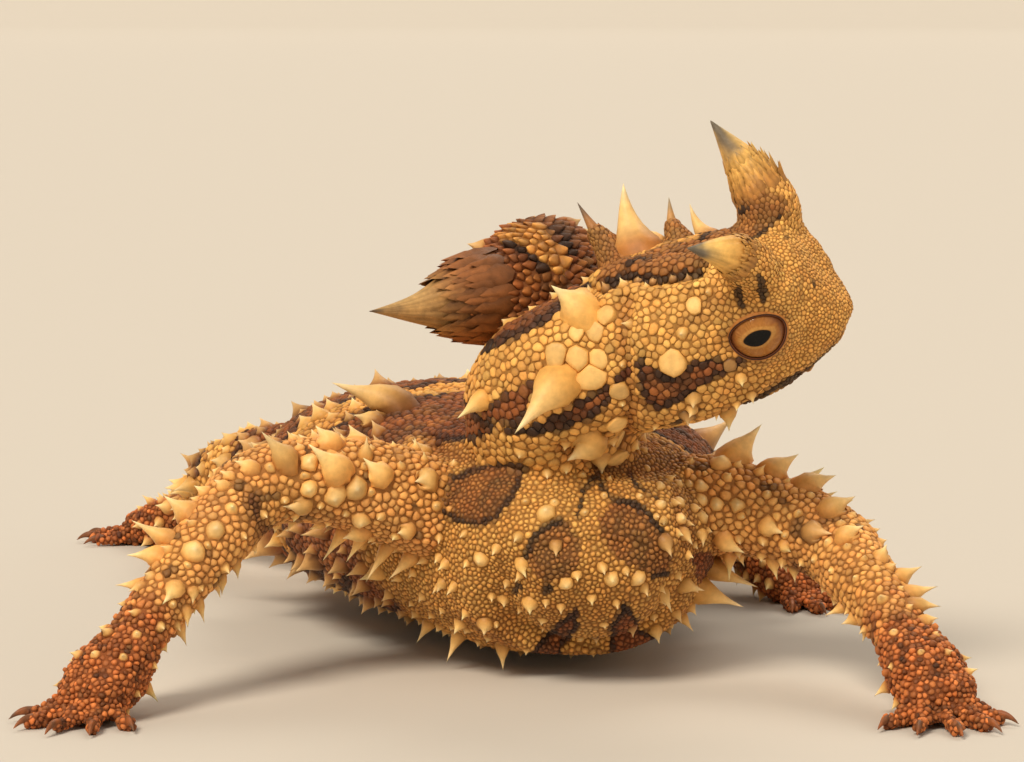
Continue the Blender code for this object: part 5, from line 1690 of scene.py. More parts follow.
    def limb_rows(self, chance: np.random.Generator) -> None:
        """Note the rings of spines on the limbs, only the far side of them on the arms.

        Args:
            chance: source of small differences.
        """
        for part in ARMS + LEGS:
            places = [(t, a + (16 if n % 2 else -8), l * (1.0 if (m + n) % 2 == 0 else 0.75),
                       r * (1.0 if (m + n) % 2 == 0 else 0.75))
                      for n, (t, l, r) in enumerate(LIMB_RINGS) for m, a in enumerate(LIMB_DEGREES)]
            before = len(self.rows)
            self.on_tube(part, places, 0.2, 1.0, chance)
            if part in ARMS:
                self.rows[before:] = [r for r in self.rows[before:] if r[0][1] > 4.0]

    def tail_rows(self, chance: np.random.Generator) -> None:
        """Note the rings of spines on the tail.

        Args:
            chance: source of small differences.
        """
        for k, ring in enumerate(TAIL_RINGS):
            places = [(t, a + (14 if n % 2 else 0), TAIL_SPINES[k] * (1 if (m + n) % 2 == 0 else 0.78) * (1 - 0.06 * n),
                       0.42 * TAIL_SPINES[k] * (1 if (m + n) % 2 == 0 else 0.78))
                      for n, t in enumerate(ring) for m, a in enumerate(TAIL_DEGREES)]
            self.on_tube(Part.TRUNK, places, 0.45, 1.0, chance)

    def build(self) -> Cones:
        """Set out every named and ruled spine, then the small ones.

        Returns:
            all spines.
        """
        s = self.skin
        chance = np.random.default_rng(5)
        self.tree = finder(s.points)
        _, y, _ = PLATE.see(s.points)
        self.front = (dot(s.normals, -PLATE.ahead) > -0.05) & (s.points[:, 1] < 20) & (y < PLATE_FOOT)
        self.front |= self.over_bare_back(s.points)
        self.knob_rows()
        self.on_tube(Part.HEAD, [(t, a, l, r) for t, d, l, r in HEAD_PLACES for a in ((180 - d), d)
                                 if math.cos(math.radians(a)) < 0], 0.45, -1.0, chance)
        self.plate_rows()
        self.on_tube(Part.NECK, [(t, d, l, l * 0.42) for t, d, l in NECK_PLACES if -70 < d < 30 or d > 270],
                     0.2, 1.0, chance)
        self.trunk_rows(chance)
        self.limb_rows(chance)
        self.tail_rows(chance)
        named = self.thin()
        for row in named:
            self.sower.claim(row[0], row[2] * 0.97)
        small = self.small_cones(chance)
        place, out, radius, part, t, angle, length, bend, dark, axis, kind = (np.array(c) for c in zip(*named))
        cones = Cones(Sites(place, out, radius, part.astype(int), t, angle), length, bend, dark, axis, kind)
        return Cones.join([cones, small])

    def thin(self) -> list:
        """Drop any spine that stands too close to one named before it.

        Returns:
            the rows that are kept.
        """
        kept = []
        for row in self.rows:
            crowd = any(np.linalg.norm(row[0] - k[0]) < (row[2] + k[2]) * 0.72 for k in kept)
            if not crowd:
                kept.append(row)
        LOG.info("%d named spines of %d", len(kept), len(self.rows))
        return kept

    def small_gaps(self, off_top: Array, front: Array) -> Array:
        """Room that small spines keep between them at each place of the pool.

        Args:
            off_top: degrees of each place from the top of its tube.
            front: whether the front plate shows it.

        Returns:
            N distances in millimetres.
        """
        pool = self.sower.pool
        part, t, trunk, arms = pool.part, pool.t, pool.part == Part.TRUNK, np.isin(pool.part, ARMS)
        gap = np.full(len(part), 2.6)
        gap = np.where(trunk, 2.5 - 0.3 * smooth(90, 130, off_top), gap)
        gap = np.where(trunk & (t > TAIL_FROM), 2.3 - 0.8 * smooth(12, 17, t), gap)
        gap = np.where(part == Part.HEAD, 3.4, gap)
        gap = np.where(part >= Part.ARM_RIGHT, 2.0 - 0.25 * smooth(5, 7, t), gap)
        gap = np.where(front & (trunk | arms), 2.2, gap)
        return gap * (1 + 0.22 * noise(pool.place, 3.0, 13))

    def small_lean(self, sites: Sites) -> Array:
        """Way that small spines lean: back along their tube, or down on the chest.

        Args:
            sites: where they stand.

        Returns:
            N by 3 leans.
        """
        lean = np.zeros_like(sites.place)
        for kind, tube in self.body.tubes.items():
            here = sites.part == kind
            if here.any():
                ahead = tube.axes(np.clip(sites.t[here], 0, tube.last))[0]
                lean[here] = ahead * (-0.4 if kind == Part.HEAD else 0.45)
        hanging = ((sites.part == Part.TRUNK) & (sites.place[:, 1] < 8))[:, None]
        return np.where(hanging, np.array((0.0, 0.0, -0.55)), lean)

    def small_cones(self, chance: np.random.Generator) -> Cones:
        """Scatter medium and small spines between the named ones.

        Args:
            chance: source of small differences.

        Returns:
            the small spines.
        """
        pool = self.sower.pool
        n = len(pool.radius)
        part, t = pool.part, pool.t
        off_top = from_top(pool.angle)
        arms = np.isin(part, ARMS)
        trunk = part == Part.TRUNK
        front = (pool.place[:, 1] < 10) & (dot(pool.normal, -PLATE.ahead) > -0.1)
        gap = self.small_gaps(off_top, front)
        order = chance.permutation(n)
        h = self.body.head_coords(pool.place)
        bald = (part == Part.HEAD) & (h[:, 0] > -9.5) | (part == Part.KNOB)
        bald |= (part >= Part.ARM_RIGHT) & (t > 7.4)
        bald |= (part == Part.NECK) & front & (pool.place[:, 2] > 21.0)
        keep_alive = self.sower.alive.copy()
        self.sower.alive = keep_alive & ~bald
        chosen = self.sower.sow(order, gap / 2, 1.0)
        self.sower.alive = keep_alive
        sites = pool.pick(chosen)
        _, dark = self.hide.colour(sites.place, sites.normal, sites.part, sites.t, sites.angle)
        x, y, _ = PLATE.see(sites.place)
        bare = self.over_bare_back(sites.place)
        bare |= (outline_distance(x, y, BEHIND_CHIN) < 0) & (sites.place[:, 1] < BARE_DEPTH) & (sites.part != Part.HEAD)
        chosen = chosen[~((front[chosen] & (dark > 0.3)) | bare)]
        sites = pool.pick(chosen)
        size = chance.uniform(0.0, 1.0, len(chosen)) ** 1.3
        sites.radius = np.where(trunk[chosen], 0.42 + 0.38 * size, 0.36 + 0.36 * size)
        sites.radius = np.where(sites.part == Part.NECK, 0.45 + 0.4 * size, sites.radius)
        sites.radius = sites.radius * np.where(sites.part == Part.HEAD, 0.72, 1.0)
        sites.radius = np.where(front[chosen] & (trunk | arms)[chosen], 0.29 + 0.17 * size, sites.radius)
        under = smooth(110, 150, off_top[chosen]) * trunk[chosen]
        tall = (0.95 + 0.95 * chance.random(len(chosen))) * np.where(sites.part == Part.NECK, 0.6, 1.0)
        length = sites.radius * 1.75 * tall * (1 - 0.45 * under) * np.where(front[chosen], 0.75, 1.0)
        x, y, _ = PLATE.see(sites.place + sites.normal * length[:, None])
        length = length * np.where((outline_distance(x, y, OPEN_AIR) < 0) & (sites.place[:, 1] < AIR_DEPTH), 0.45, 1.0)
        lean = self.small_lean(sites)
        axis = unit(sites.normal + lean * 0.7)
        for k in range(len(chosen)):
            self.sower.claim(sites.place[k], float(sites.radius[k]) * 0.97)
        LOG.info("%d small spines", len(chosen))
        lean = lean * (0.3 * length)[:, None]
        kind = np.full(len(chosen), Kind.CONE)
        return Cones(sites, length, lean, np.full(len(chosen), -1.0), axis, kind)


@dataclass(frozen=True)
class Profile:
    """Shape of a scale or spine: share of its foot, share of its height, and share of its bend."""

    sides: int
    rings: tuple
    flute: float = 0.0

    @property
    def triangles(self) -> int:
        """Triangles in one."""
        return self.sides * (2 * (len(self.rings) - 1) + 1)


GRAIN = Profile(7, ((1.0, -0.30), (0.80, 0.66)))
GRANULE = Profile(8, ((1.0, -0.35), (0.93, 0.40), (0.64, 0.88)))
PEBBLE = Profile(9, ((1.0, -0.30), (0.95, 0.48), (0.70, 0.92)))
DOME = Profile(12, ((1.0, -0.30), (0.99, 0.40), (0.88, 0.80), (0.52, 0.97)))
BUTTON = Profile(12, ((1.0, -0.30), (0.92, 0.20), (0.62, 0.48), (0.26, 0.78)))
LEAF = Profile(9, ((1.0, -0.30), (0.98, 0.20), (0.68, 0.56), (0.28, 0.88)))
SMALL_CONE = Profile(9, ((1.0, -0.25), (0.93, 0.10), (0.70, 0.28), (0.34, 0.54), (0.12, 0.80)))
GREAT_CONE = Profile(16, ((1.04, -0.22), (1.0, 0.03), (0.95, 0.11), (0.81, 0.23), (0.58, 0.38), (0.37, 0.54),
                          (0.19, 0.72), (0.07, 0.90)), 0.02)


class Scutes:
    """Turns sites into joined meshes of scales or spines, with feet that meet their neighbours."""

    def __init__(self, everything: Sites, skin: Skin, ground: kdtree.KDTree) -> None:
        """Note the neighbours of every site.

        Args:
            everything: all sites on the body, of every size.
            skin: the hide that they stand on.
            ground: finder of the hide's nearest point.
        """
        self.all = everything
        self.skin = skin
        self.ground = ground
        self.tree = finder(everything.place)

    def feet(self, sites: Sites, sides: int, turn: Array, count: int = 13) -> tuple:
        """Directions and reach of each foot toward its neighbours.

        Args:
            sites: the sites to shape.
            sides: corners of each foot.
            turn: first angle of each foot.
            count: neighbours to look at.

        Returns:
            directions, N by sides by 3, and reach, N by sides.
        """
        n = sites.normal
        hint = np.where(np.abs(n[:, 2:3]) < 0.9, np.array((0.0, 0.0, 1.0)), np.array((1.0, 0.0, 0.0)))
        a = unit(np.cross(n, hint))
        b = np.cross(n, a)
        angle = turn[:, None] + np.arange(sides) * TAU / sides
        rays = a[:, None] * np.cos(angle)[..., None] + b[:, None] * np.sin(angle)[..., None]
        near = np.array([[k for _, k, _ in self.tree.find_n(p, count)] for p in sites.place.tolist()])
        off = self.all.place[near] - sites.place[:, None]
        far = np.linalg.norm(off, axis=2)
        mine = sites.radius[:, None]
        edge = far * mine / (mine + self.all.radius[near])
        edge = np.where(far < 1e-4, 1e9, edge)
        facing = np.einsum("nkc,nsc->nsk", off / np.maximum(far, 1e-6)[..., None], rays)
        reach = np.where(facing > 0.15, edge[:, None] / np.maximum(facing, 0.15), 1e9).min(2)
        return rays, np.clip(reach, 0.55 * mine, 1.75 * mine)

    def settle(self, points: Array, high: float) -> Array:
        """Bring feet onto the hide, a little above or below it.

        Args:
            points: places near the hide.
            high: height over the hide.

        Returns:
            the moved places.
        """
        flat = points.reshape(-1, 3)
        near = np.array([self.ground.find(p)[1] for p in flat.tolist()])
        return (self.skin.points[near] + self.skin.normals[near] * high).reshape(points.shape)

    def mesh(self, name: str, sites: Sites, profile: Profile, tall: Array, lean: Array, colours: Array,
             gap: float = 0.05, unwrap: tuple = (0.0, 1.0), axis: Array = None) -> bpy.types.Object:
        """Build one joined piece.

        Args:
            name: name of the piece.
            sites: where each scale or spine stands.
            profile: its shape.
            tall: its height.
            lean: shift of its tip.
            colours: colour of each of its rings and its tip, N by rings + 1 by 3.
            gap: half the groove between neighbours.
            unwrap: first and last t of the piece, for its flat layout.
            axis: where each spine points, or nothing for scales that stand upright.

        Returns:
            the new object.
        """
        count, sides, rings = len(sites.radius), profile.sides, len(profile.rings)
        rng = np.random.default_rng(len(name) * 31 + count)
        rays, reach = self.feet(sites, sides, rng.random(count) * TAU)
        reach = np.maximum(reach - gap, 0.06)
        even = reach.mean(1, keepdims=True) * 0.5 + sites.radius[:, None] * 0.5
        spine = axis is not None
        axis = sites.normal if axis is None else axis
        wave = 1 + profile.flute * np.cos(np.arange(sides) * TAU * 3 / 8)
        slant = 1 - dot(axis, sites.normal)
        bits = []
        for wide, high in profile.rings:
            up = max(0.0, high)
            round_off = up ** 0.5 if spine and sides != DOME.sides else 0.3 * up
            foot = reach * (1 - round_off) + even * round_off
            if sides > 12:
                foot = foot * wave * (0.97 + 0.06 * rng.random((count, sides)) * (1 - up))
            share = float(smooth(0.0, 0.45, np.array(up)))
            way = unit(sites.normal * (1 - share) + axis * share)
            sunk = sites.normal * ((tall if not spine else sites.radius) * min(high, 0.0))[:, None]
            raised = sites.normal * (even[:, 0] * wide * 0.6 * slant * float(smooth(0.0, 0.16, np.array(up))))[:, None]
            middle = sites.place + sunk + raised + axis * (tall * up)[:, None] + lean * up ** 2
            ring = middle[:, None] + swing(rays, sites.normal, way) * (foot * wide)[..., None]
            if spine and high < 0.05:
                ring = self.settle(ring, -0.22 if high < 0 else 0.04)
            bits.append(ring)
        tip = sites.place + axis * tall[:, None] + lean
        points = np.concatenate((*bits, tip[:, None]), axis=1)
        each = rings * sides + 1
        k = np.arange(sides)
        nxt = (k + 1) % sides
        quads = ring_quads(sides, rings)
        caps = np.stack(((rings - 1) * sides + k, (rings - 1) * sides + nxt, np.full(sides, rings * sides)), -1)
        start = (np.arange(count) * each)[:, None, None]
        quads = (quads[None] + start).reshape(-1, 4)
        caps = (caps[None] + start).reshape(-1, 3)
        tint = np.concatenate([np.repeat(colours[:, r:r + 1], sides, 1) for r in range(rings)]
                              + [colours[:, rings:]], axis=1).reshape(-1, 3)
        points = points.reshape(-1, 3)
        points[:, 2] = np.maximum(points[:, 2], 0.0)
        low, high = unwrap
        centre = np.stack((np.clip((sites.t - low) / (high - low), 0, 1) * 0.96 + 0.02,
                           np.mod(sites.angle, TAU) / TAU * 0.96 + 0.02), -1)
        centre = centre + (rng.random((count, 2)) - 0.5) * 0.006
        spread = np.array([w for w, _ in profile.rings] + [0.0])
        ring_of = np.concatenate((np.repeat(np.arange(rings), sides), [rings]))
        turn = np.concatenate((np.tile(k, rings), [0])) * TAU / sides
        patch = np.stack((np.cos(turn), np.sin(turn)), -1) * (spread[ring_of] * 0.0015)[:, None]
        flat = (centre[:, None] + patch).reshape(-1, 2)
        return make_object(name, points, [quads, caps], tint, flat)


def make_object(name: str, points: Array, faces: list, tint: Array, flat: Array = None) -> bpy.types.Object:
    """Make an object in the shared frame from arrays.

    Args:
        name: name of the object.
        points: places in millimetres in the maker's room.
        faces: arrays of faces, each with its own number of corners.
        tint: colour of each point.
        flat: place of each point in the flat layout.

    Returns:
        the new object, linked to the scene.
    """
    data = bpy.data.meshes.new(name)
    faces = [f for f in faces if len(f)]
    sizes = np.concatenate([np.full(len(f), f.shape[1]) for f in faces])
    corners = np.concatenate([f.ravel() for f in faces]).astype(np.int32)
    data.vertices.add(len(points))
    data.vertices.foreach_set("co", ((points + SHIFT) * MM).astype(np.float32).ravel())
    data.loops.add(len(corners))
    data.loops.foreach_set("vertex_index", corners)
    data.polygons.add(len(sizes))
    data.polygons.foreach_set("loop_start", np.concatenate(([0], np.cumsum(sizes)[:-1])).astype(np.int32))
    data.update(calc_edges=True)
    data.validate()
    colour = data.color_attributes.new("tint", "FLOAT_COLOR", "POINT")
    rgba = np.concatenate((tint, np.ones((len(tint), 1))), 1).astype(np.float32)
    colour.data.foreach_set("color", rgba.ravel())
    if flat is not None:
        layer = data.uv_layers.new(name="OFBake")
        layer.data.foreach_set("uv", flat[corners].astype(np.float32).ravel())
    data.shade_smooth()
    item = bpy.data.objects.new(name, data)
    bpy.context.scene.collection.objects.link(item)
    return item


# ---------------------------------------------------------------- finishes
@dataclass(frozen=True)
class HideFinish:
    """A dry horny surface that takes its colour from the hide's markings."""

    name: str
    rough: float = 0.62
    mottle: float = 0.16
    grain: float = 2600.0
    bump: float = 0.18
    fine: float = 9000.0

    def make(self) -> bpy.types.Material:
        """Make the material.

        Returns:
            the material.
        """
        made = bpy.data.materials.new(self.name)
        made.use_nodes = True
        tree = made.node_tree
        shader = tree.nodes["Principled BSDF"]
        new, link = tree.nodes.new, tree.links.new
        place = new("ShaderNodeTexCoord")
        tint = new("ShaderNodeAttribute")
        tint.attribute_name = "tint"
        wide, fine = new("ShaderNodeTexNoise"), new("ShaderNodeTexNoise")
        wide.inputs["Scale"].default_value, fine.inputs["Scale"].default_value = self.grain, self.fine
        wide.inputs["Detail"].default_value, fine.inputs["Detail"].default_value = 3.0, 2.0
        link(place.outputs["Object"], wide.inputs["Vector"])
        link(place.outputs["Object"], fine.inputs["Vector"])
        span = new("ShaderNodeMapRange")
        span.inputs["To Min"].default_value = 1.0 - self.mottle
        span.inputs["To Max"].default_value = 1.0 + self.mottle
        span.inputs["From Min"].default_value, span.inputs["From Max"].default_value = 0.3, 0.7
        link(wide.outputs["Fac"], span.inputs["Value"])
        times = new("ShaderNodeVectorMath")
        times.operation = "SCALE"
        link(tint.outputs["Color"], times.inputs[0])
        link(span.outputs["Result"], times.inputs["Scale"])
        link(times.outputs["Vector"], shader.inputs["Base Color"])
        gloss = new("ShaderNodeMapRange")
        gloss.inputs["To Min"].default_value, gloss.inputs["To Max"].default_value = self.rough - 0.1, self.rough + 0.12
        link(fine.outputs["Fac"], gloss.inputs["Value"])
        link(gloss.outputs["Result"], shader.inputs["Roughness"])
        lift = new("ShaderNodeBump")
        lift.inputs["Strength"].default_value = self.bump
        lift.inputs["Distance"].default_value = 0.00012
        both = new("ShaderNodeMath")
        both.operation = "ADD"
        link(wide.outputs["Fac"], both.inputs[0])
        link(fine.outputs["Fac"], both.inputs[1])
        link(both.outputs["Value"], lift.inputs["Height"])
        link(lift.outputs["Normal"], shader.inputs["Normal"])
        shader.inputs["Specular IOR Level"].default_value = 0.35
        return made


@dataclass(frozen=True)
class EyeFinish:
    """A wet eyeball whose colours come from the points of the ball."""

    name: str = "eye_wet"
    rough: float = 0.3

    def make(self) -> bpy.types.Material:
        """Make the material.

        Returns:
            the material.
        """
        made = HideFinish(self.name, rough=self.rough, mottle=0.12, grain=5200.0, bump=0.02, fine=12000.0).make()
        shader = made.node_tree.nodes["Principled BSDF"]
        shader.inputs["Coat Weight"].default_value = 0.3
        shader.inputs["Coat Roughness"].default_value = 0.04
        shader.inputs["Specular IOR Level"].default_value = 0.06
        return made


# ---------------------------------------------------------------- eyes, horns and claws
@dataclass
class Eye:
    """One eyeball with a golden iris and a level pupil."""

    body: Anatomy
    side: int
    rings: int = 64
    steps: int = 96
    iris: float = 0.93
    pupil: tuple = (1.20, 0.66)
    gaze: tuple = (0.0, 0.26)

    def build(self) -> bpy.types.Object:
        """Make the ball, its pole at the middle of the iris.

        Returns:
            the eyeball.
        """
        centre, along, up, out = self.body.eye(self.side)
        polar = np.concatenate((np.linspace(0.0, 0.95, self.rings)[1:], np.linspace(0.95, math.pi, 20)[1:-1]))
        phi = np.arange(self.steps) * TAU / self.steps
        around = np.cos(phi)[:, None] * along + np.sin(phi)[:, None] * up
        rings = [centre + around * math.sin(a) * EYE_RADIUS + out * math.cos(a) * EYE_RADIUS for a in polar]
        points = np.concatenate((*rings, [centre + out * EYE_RADIUS], [centre - out * EYE_RADIUS]))
        n, r = self.steps, len(rings)
        k = np.arange(n)
        quads = ring_quads(n, r)
        caps = np.concatenate((np.stack((k, np.full(n, r * n), (k + 1) % n), -1),
                               np.stack(((r - 1) * n + k, (r - 1) * n + (k + 1) % n, np.full(n, r * n + 1)), -1)))
        name = "eyeball_left" if self.side > 0 else "eyeball_right"
        return make_object(name, points, [quads[:, ::-1], caps[:, ::-1]], self.tint(points, centre, along, up, out))

    def tint(self, points: Array, centre: Array, along: Array, up: Array, out: Array) -> Array:
        """Colour each point of the ball by its place in the iris.

        Args:
            points: places of the ball.
            centre: its middle.
            along: direction along the lid.
            up: direction across the lid.
            out: direction of the iris.

        Returns:
            N by 3 colours.
        """
        off = points - centre
        a, b = off @ along, off @ up
        far = np.hypot(a, b)
        phi = np.arctan2(b, a)
        a, b = a - self.gaze[0], b - self.gaze[1]
        slit = np.hypot(a / self.pupil[0], b / (self.pupil[1] * (0.72 + 0.28 * np.cos(np.clip(a, -1.2, 1.2) * 1.1))))
        streak = 0.5 + 0.5 * np.sin(phi * 31 + 3 * np.sin(phi * 7)) * np.sin(far * 4 + phi * 3)
        gold, amber = (0.50, 0.225, 0.055), (0.32, 0.115, 0.026)
        made = mix(gold, amber, np.clip(0.25 + 0.5 * streak + 0.3 * smooth(1.3, 2.0, far), 0, 1))
        made = mix(made, (0.60, 0.33, 0.09), 0.45 * (1 - smooth(0.05, 0.3, np.abs(slit - 1.2))))
        made = mix(made, (0.16, 0.05, 0.016), smooth(1.72, 2.1, far))
        made = mix(made, (0.002, 0.0015, 0.0015), 1 - smooth(0.96, 1.04, slit))
        return np.where(((off @ out) < 0)[:, None], np.array((0.3, 0.1, 0.03)), made)


@dataclass(frozen=True)
class HornTones:
    """Colours of a horn from its root to its tip."""

    root: tuple
    middle: tuple
    pale: tuple
    tip: tuple
    tip_from: float = 0.78
    streak: float = 0.14


BROW_TONES = HornTones((0.50, 0.22, 0.048), (0.78, 0.43, 0.105), (0.92, 0.62, 0.20), (0.13, 0.115, 0.095))
KNOB_TONES = HornTones((0.26, 0.095, 0.028), (0.36, 0.185, 0.060), (0.50, 0.31, 0.115), (0.085, 0.060, 0.042),
                       0.84, 0.3)


@dataclass
class Horn:
    """One great horn: a ridged cone with leaf-shaped scales climbing its lower part."""

    name: str
    tube: Tube
    start: float
    leaf_rows: tuple
    leaf_size: float
    tones: HornTones
    seed: int
    serrate: float = 0.55
    lift: float = 0.08
    around: int = 48
    rings: int = 64

    def build(self) -> bpy.types.Object:
        """Make the horn with its scales as one piece.

        Returns:
            the horn.
        """
        tube = self.tube
        ts = np.linspace(self.start, tube.last, self.rings)
        angles = np.arange(self.around) * TAU / self.around
        rings = []
        for t in ts:
            part = (t - self.start) / (tube.last - self.start)
            fade = (1 - part) ** 0.6
            ridge = 1 + (0.045 * np.cos(angles * 12 + 1.3) + 0.02 * np.cos(angles * 7 + 0.4)) * fade
            middle = tube.values(np.array(t))[:3]
            sunk = 0.7 * (1 - float(smooth(0.0, 0.45, np.array(t - self.start))))
            ring = tube.point(np.full(self.around, t), angles, -0.1 * (1 - part) - sunk)
            rings.append(middle + (ring - middle) * ridge[:, None])
        end = tube.values(np.array(float(tube.last)))[:3] + tube.axes(np.array(float(tube.last)))[0] * 0.12
        points = np.concatenate((*rings, [end], [rings[0].mean(0)]))
        n, r = self.around, len(rings)
        share = np.concatenate((np.repeat(ts / tube.last, n), (1.0, ts[0] / tube.last)))
        turned = np.concatenate((np.tile(angles, r), (0.0, 0.0)))
        tint = self.tint(points, share, turned)
        more, faces, more_tint = self.leaves(len(points))
        return make_object(self.name, np.concatenate((points, more)), [ring_quads(n, r), ring_caps(n, r), faces],
                           np.concatenate((tint, more_tint)))

    def tint(self, points: Array, share: Array, turned: Array) -> Array:
        """Colour from root to tip with fine streaks along the horn.

        Args:
            points: places in millimetres, N by 3.
            share: share of the way to the tip.
            turned: angle round the horn.

        Returns:
            N by 3 colours.
        """
        tones = self.tones
        low = self.start / self.tube.last
        made = mix(tones.root, tones.middle, smooth(low, low + 0.25, share))
        made = mix(made, tones.pale, smooth(low + 0.15, low + 0.4, share) * (0.6 + 0.4 * np.cos(turned - 1.2)))
        streak = np.sin(turned * 23 + 2 * np.sin(turned * 5)) * 0.5 + fractal(points, 0.8, 9)
        made = made * (1 + tones.streak * streak)[:, None]
        edge = share + 0.05 * noise(points, 1.0, 7) + 0.04 * np.cos(turned * 2 + 0.5)
        return np.clip(mix(made, tones.tip, 0.95 * smooth(tones.tip_from, tones.tip_from + 0.14, edge)),
                       TINT_LEAST, TINT_MOST)

    def leaves(self, start: int) -> tuple:
        """Pointed scales that lie along the lower horn, sharper along its front edge.

        Args:
            start: number of the first new place.

        Returns:
            places, faces and colours.
        """
        rng = np.random.default_rng(self.seed)
        points, faces, tints = [], [], []
        tube = self.tube
        outline = ((-0.50, 0.0), (-0.36, -0.5), (0.0, -0.75), (0.36, -0.5), (0.50, 0.0), (0.36, 0.8), (-0.36, 0.8))
        for row, t in enumerate(np.arange(*self.leaf_rows)):
            wide = float(tube.values(np.array(t))[3:].mean())
            size = self.leaf_size * (1.15 - 0.35 * (t - self.leaf_rows[0]) / (self.leaf_rows[1] - self.leaf_rows[0]))
            count = max(7, int(TAU * wide / (0.82 * size)))
            for m in range(count):
                angle = (m + 0.5 * (row % 2)) * TAU / count + rng.uniform(-0.08, 0.08)
                at = t + rng.uniform(-0.05, 0.05)
                root, out = tube.point(at, angle, 0.02), tube.normal(at, angle)
                ahead = tube.axes(np.array(at))[0]
                ahead = unit(ahead - out * dot(ahead, out))
                side = unit(np.cross(out, ahead))
                scale = size * rng.uniform(0.85, 1.2)
                front = max(0.0, math.sin(angle)) ** 6
                tip = root + ahead * scale * 1.6 + out * (self.lift + self.serrate * front) * scale
                ring = [root + side * scale * c + ahead * scale * s - out * (0.02 if s > -0.4 else 0.12)
                        for c, s in outline]
                crown = root + out * (0.14 + 0.4 * self.lift) * scale + ahead * 0.35 * scale
                base = start + sum(len(p) for p in points)
                points.append(np.array([*ring, tip, crown]))
                faces += [(base + a, base + b, base + c) for a, b, c in
                          ((0, 1, 8), (1, 2, 8), (2, 3, 8), (3, 4, 8), (4, 5, 8), (5, 7, 8), (7, 6, 8), (6, 0, 8))]
                share = np.full(9, at / tube.last)
                share[7] += 0.08
                tone = self.tint(points[-1], share, np.full(9, angle)) * rng.uniform(0.85, 1.15)
                tone[:7] *= 0.72 - 0.6 * self.lift
                tone[7] *= 1.05 + 1.2 * self.lift
                tints.append(np.clip(tone, TINT_LEAST, TINT_MOST))
        return np.concatenate(points), np.array(faces), np.concatenate(tints)


@dataclass
class Crest:
    """The spines of the crown, which rise out of their granular roots."""

    body: Anatomy
    around: int = 20

    def build(self) -> bpy.types.Object:
        """Make all of them as one piece.

        Returns:
            the crest spines.
        """
        angles = np.arange(self.around) * TAU / self.around
        points, faces, tints = [], [], []
        for index, (root, tip, radius, dark) in enumerate(GREAT_SPINES):
            root, tip = np.array(root), np.array(tip)
            ahead = unit(tip - root)
            side = unit(np.cross(ahead, self.body.left))
            over = np.cross(ahead, side)
            start = sum(len(p) for p in points)
            for row, (share, wide) in enumerate(CREST_SHAPE):
                bow = 0.35 if dark < 0.2 else 0.05
                middle = root + (tip - root) * share + side * bow * math.sin(share * math.pi)
                flute = 1 + 0.05 * np.cos(angles * 5 + index) * (1 - share)
                reach = radius * wide * flute * (1.12 if dark < 0.2 else min(1.0, 0.45 + 2.0 * max(share, 0.0)))
                ray = np.cos(angles)[:, None] * side + np.sin(angles)[:, None] * over
                points.append(middle + ray * reach[:, None])
                if row:
                    k, n, low = np.arange(self.around), self.around, start + (row - 1) * self.around
                    faces.append(np.stack((low + k, low + (k + 1) % n, low + n + (k + 1) % n, low + n + k), -1))
                pale = mix(OCHRE, CREAM, smooth(0.0, 0.45, np.array(share)))
                pale = mix(pale, IVORY, smooth(0.6, 0.95, np.array(share)))
                brown = mix(RUST, (0.42, 0.19, 0.06), smooth(0.2, 0.6, np.array(share)))
                brown = mix(brown, HORN_TIP, 0.95 * smooth(0.68, 0.88, np.array(share)))
                tone = mix(pale, brown, np.array(min(1.0, dark * 1.2)))
                tints.append(np.repeat(tone[None], self.around, 0))
            points.append(tip[None])
            last = start + (len(CREST_SHAPE) - 1) * self.around
            faces.append(np.stack((last + np.arange(self.around), last + (np.arange(self.around) + 1) % self.around,
                                   np.full(self.around, last + self.around)), -1))
            tints.append(tints[-1][:1])
        points, tints = np.concatenate(points), np.concatenate(tints)
        tints = np.clip(tints * (1 + 0.12 * fractal(points, 0.8, 3))[:, None], TINT_LEAST, TINT_MOST)
        return make_object("crest_spines", points, faces, tints)


@dataclass
class Claws:
    """The five curved claws of one foot."""

    body: Anatomy
    part: Part
    length: float = 2.1
    sides: int = 12
    rings: int = 14

    def build(self) -> bpy.types.Object:
        """Make the claws as one piece.

        Returns:
            the claws.
        """
        points, quads, caps = [], [], []
        k = np.arange(self.sides)
        for root, heading, length, radius in self.body.toes(self.part):
            start = root + heading * (length * 0.9)
            start[2] = radius * 0.86
            base = sum(len(p) for p in points)
            ring_sets = []
            for u in np.linspace(0, 1, self.rings):
                middle = start + heading * (self.length * u - 0.3)
                middle[2] += 0.35 * math.sin(u * 2.2) - 0.72 * u ** 2
                wide = radius * 0.5 * (1 - u) ** 0.62 + 0.03
                side = np.cross(heading, (0.0, 0.0, 1.0))
                ring = (np.cos(k * TAU / self.sides)[:, None] * side * wide * 0.72
                        + np.sin(k * TAU / self.sides)[:, None] * np.array((0.0, 0.0, 1.0)) * wide)
                ring_sets.append(middle + ring)
            points.append(np.concatenate((*ring_sets, [ring_sets[-1].mean(0) + heading * 0.08],
                                          [ring_sets[0].mean(0)])))
            quads.append(ring_quads(self.sides, self.rings) + base)
            caps.append(ring_caps(self.sides, self.rings) + base)
        points = np.concatenate(points)
        points[:, 2] = np.maximum(points[:, 2], 0.0)
        tone = mix((0.10, 0.055, 0.03), DUST * 0.8, 0.5 + 0.5 * noise(points, 0.7, 15))
        return make_object("claws_" + self.part.name.lower(), points,
                           [np.concatenate(quads)[:, ::-1], np.concatenate(caps)[:, ::-1]], tone)


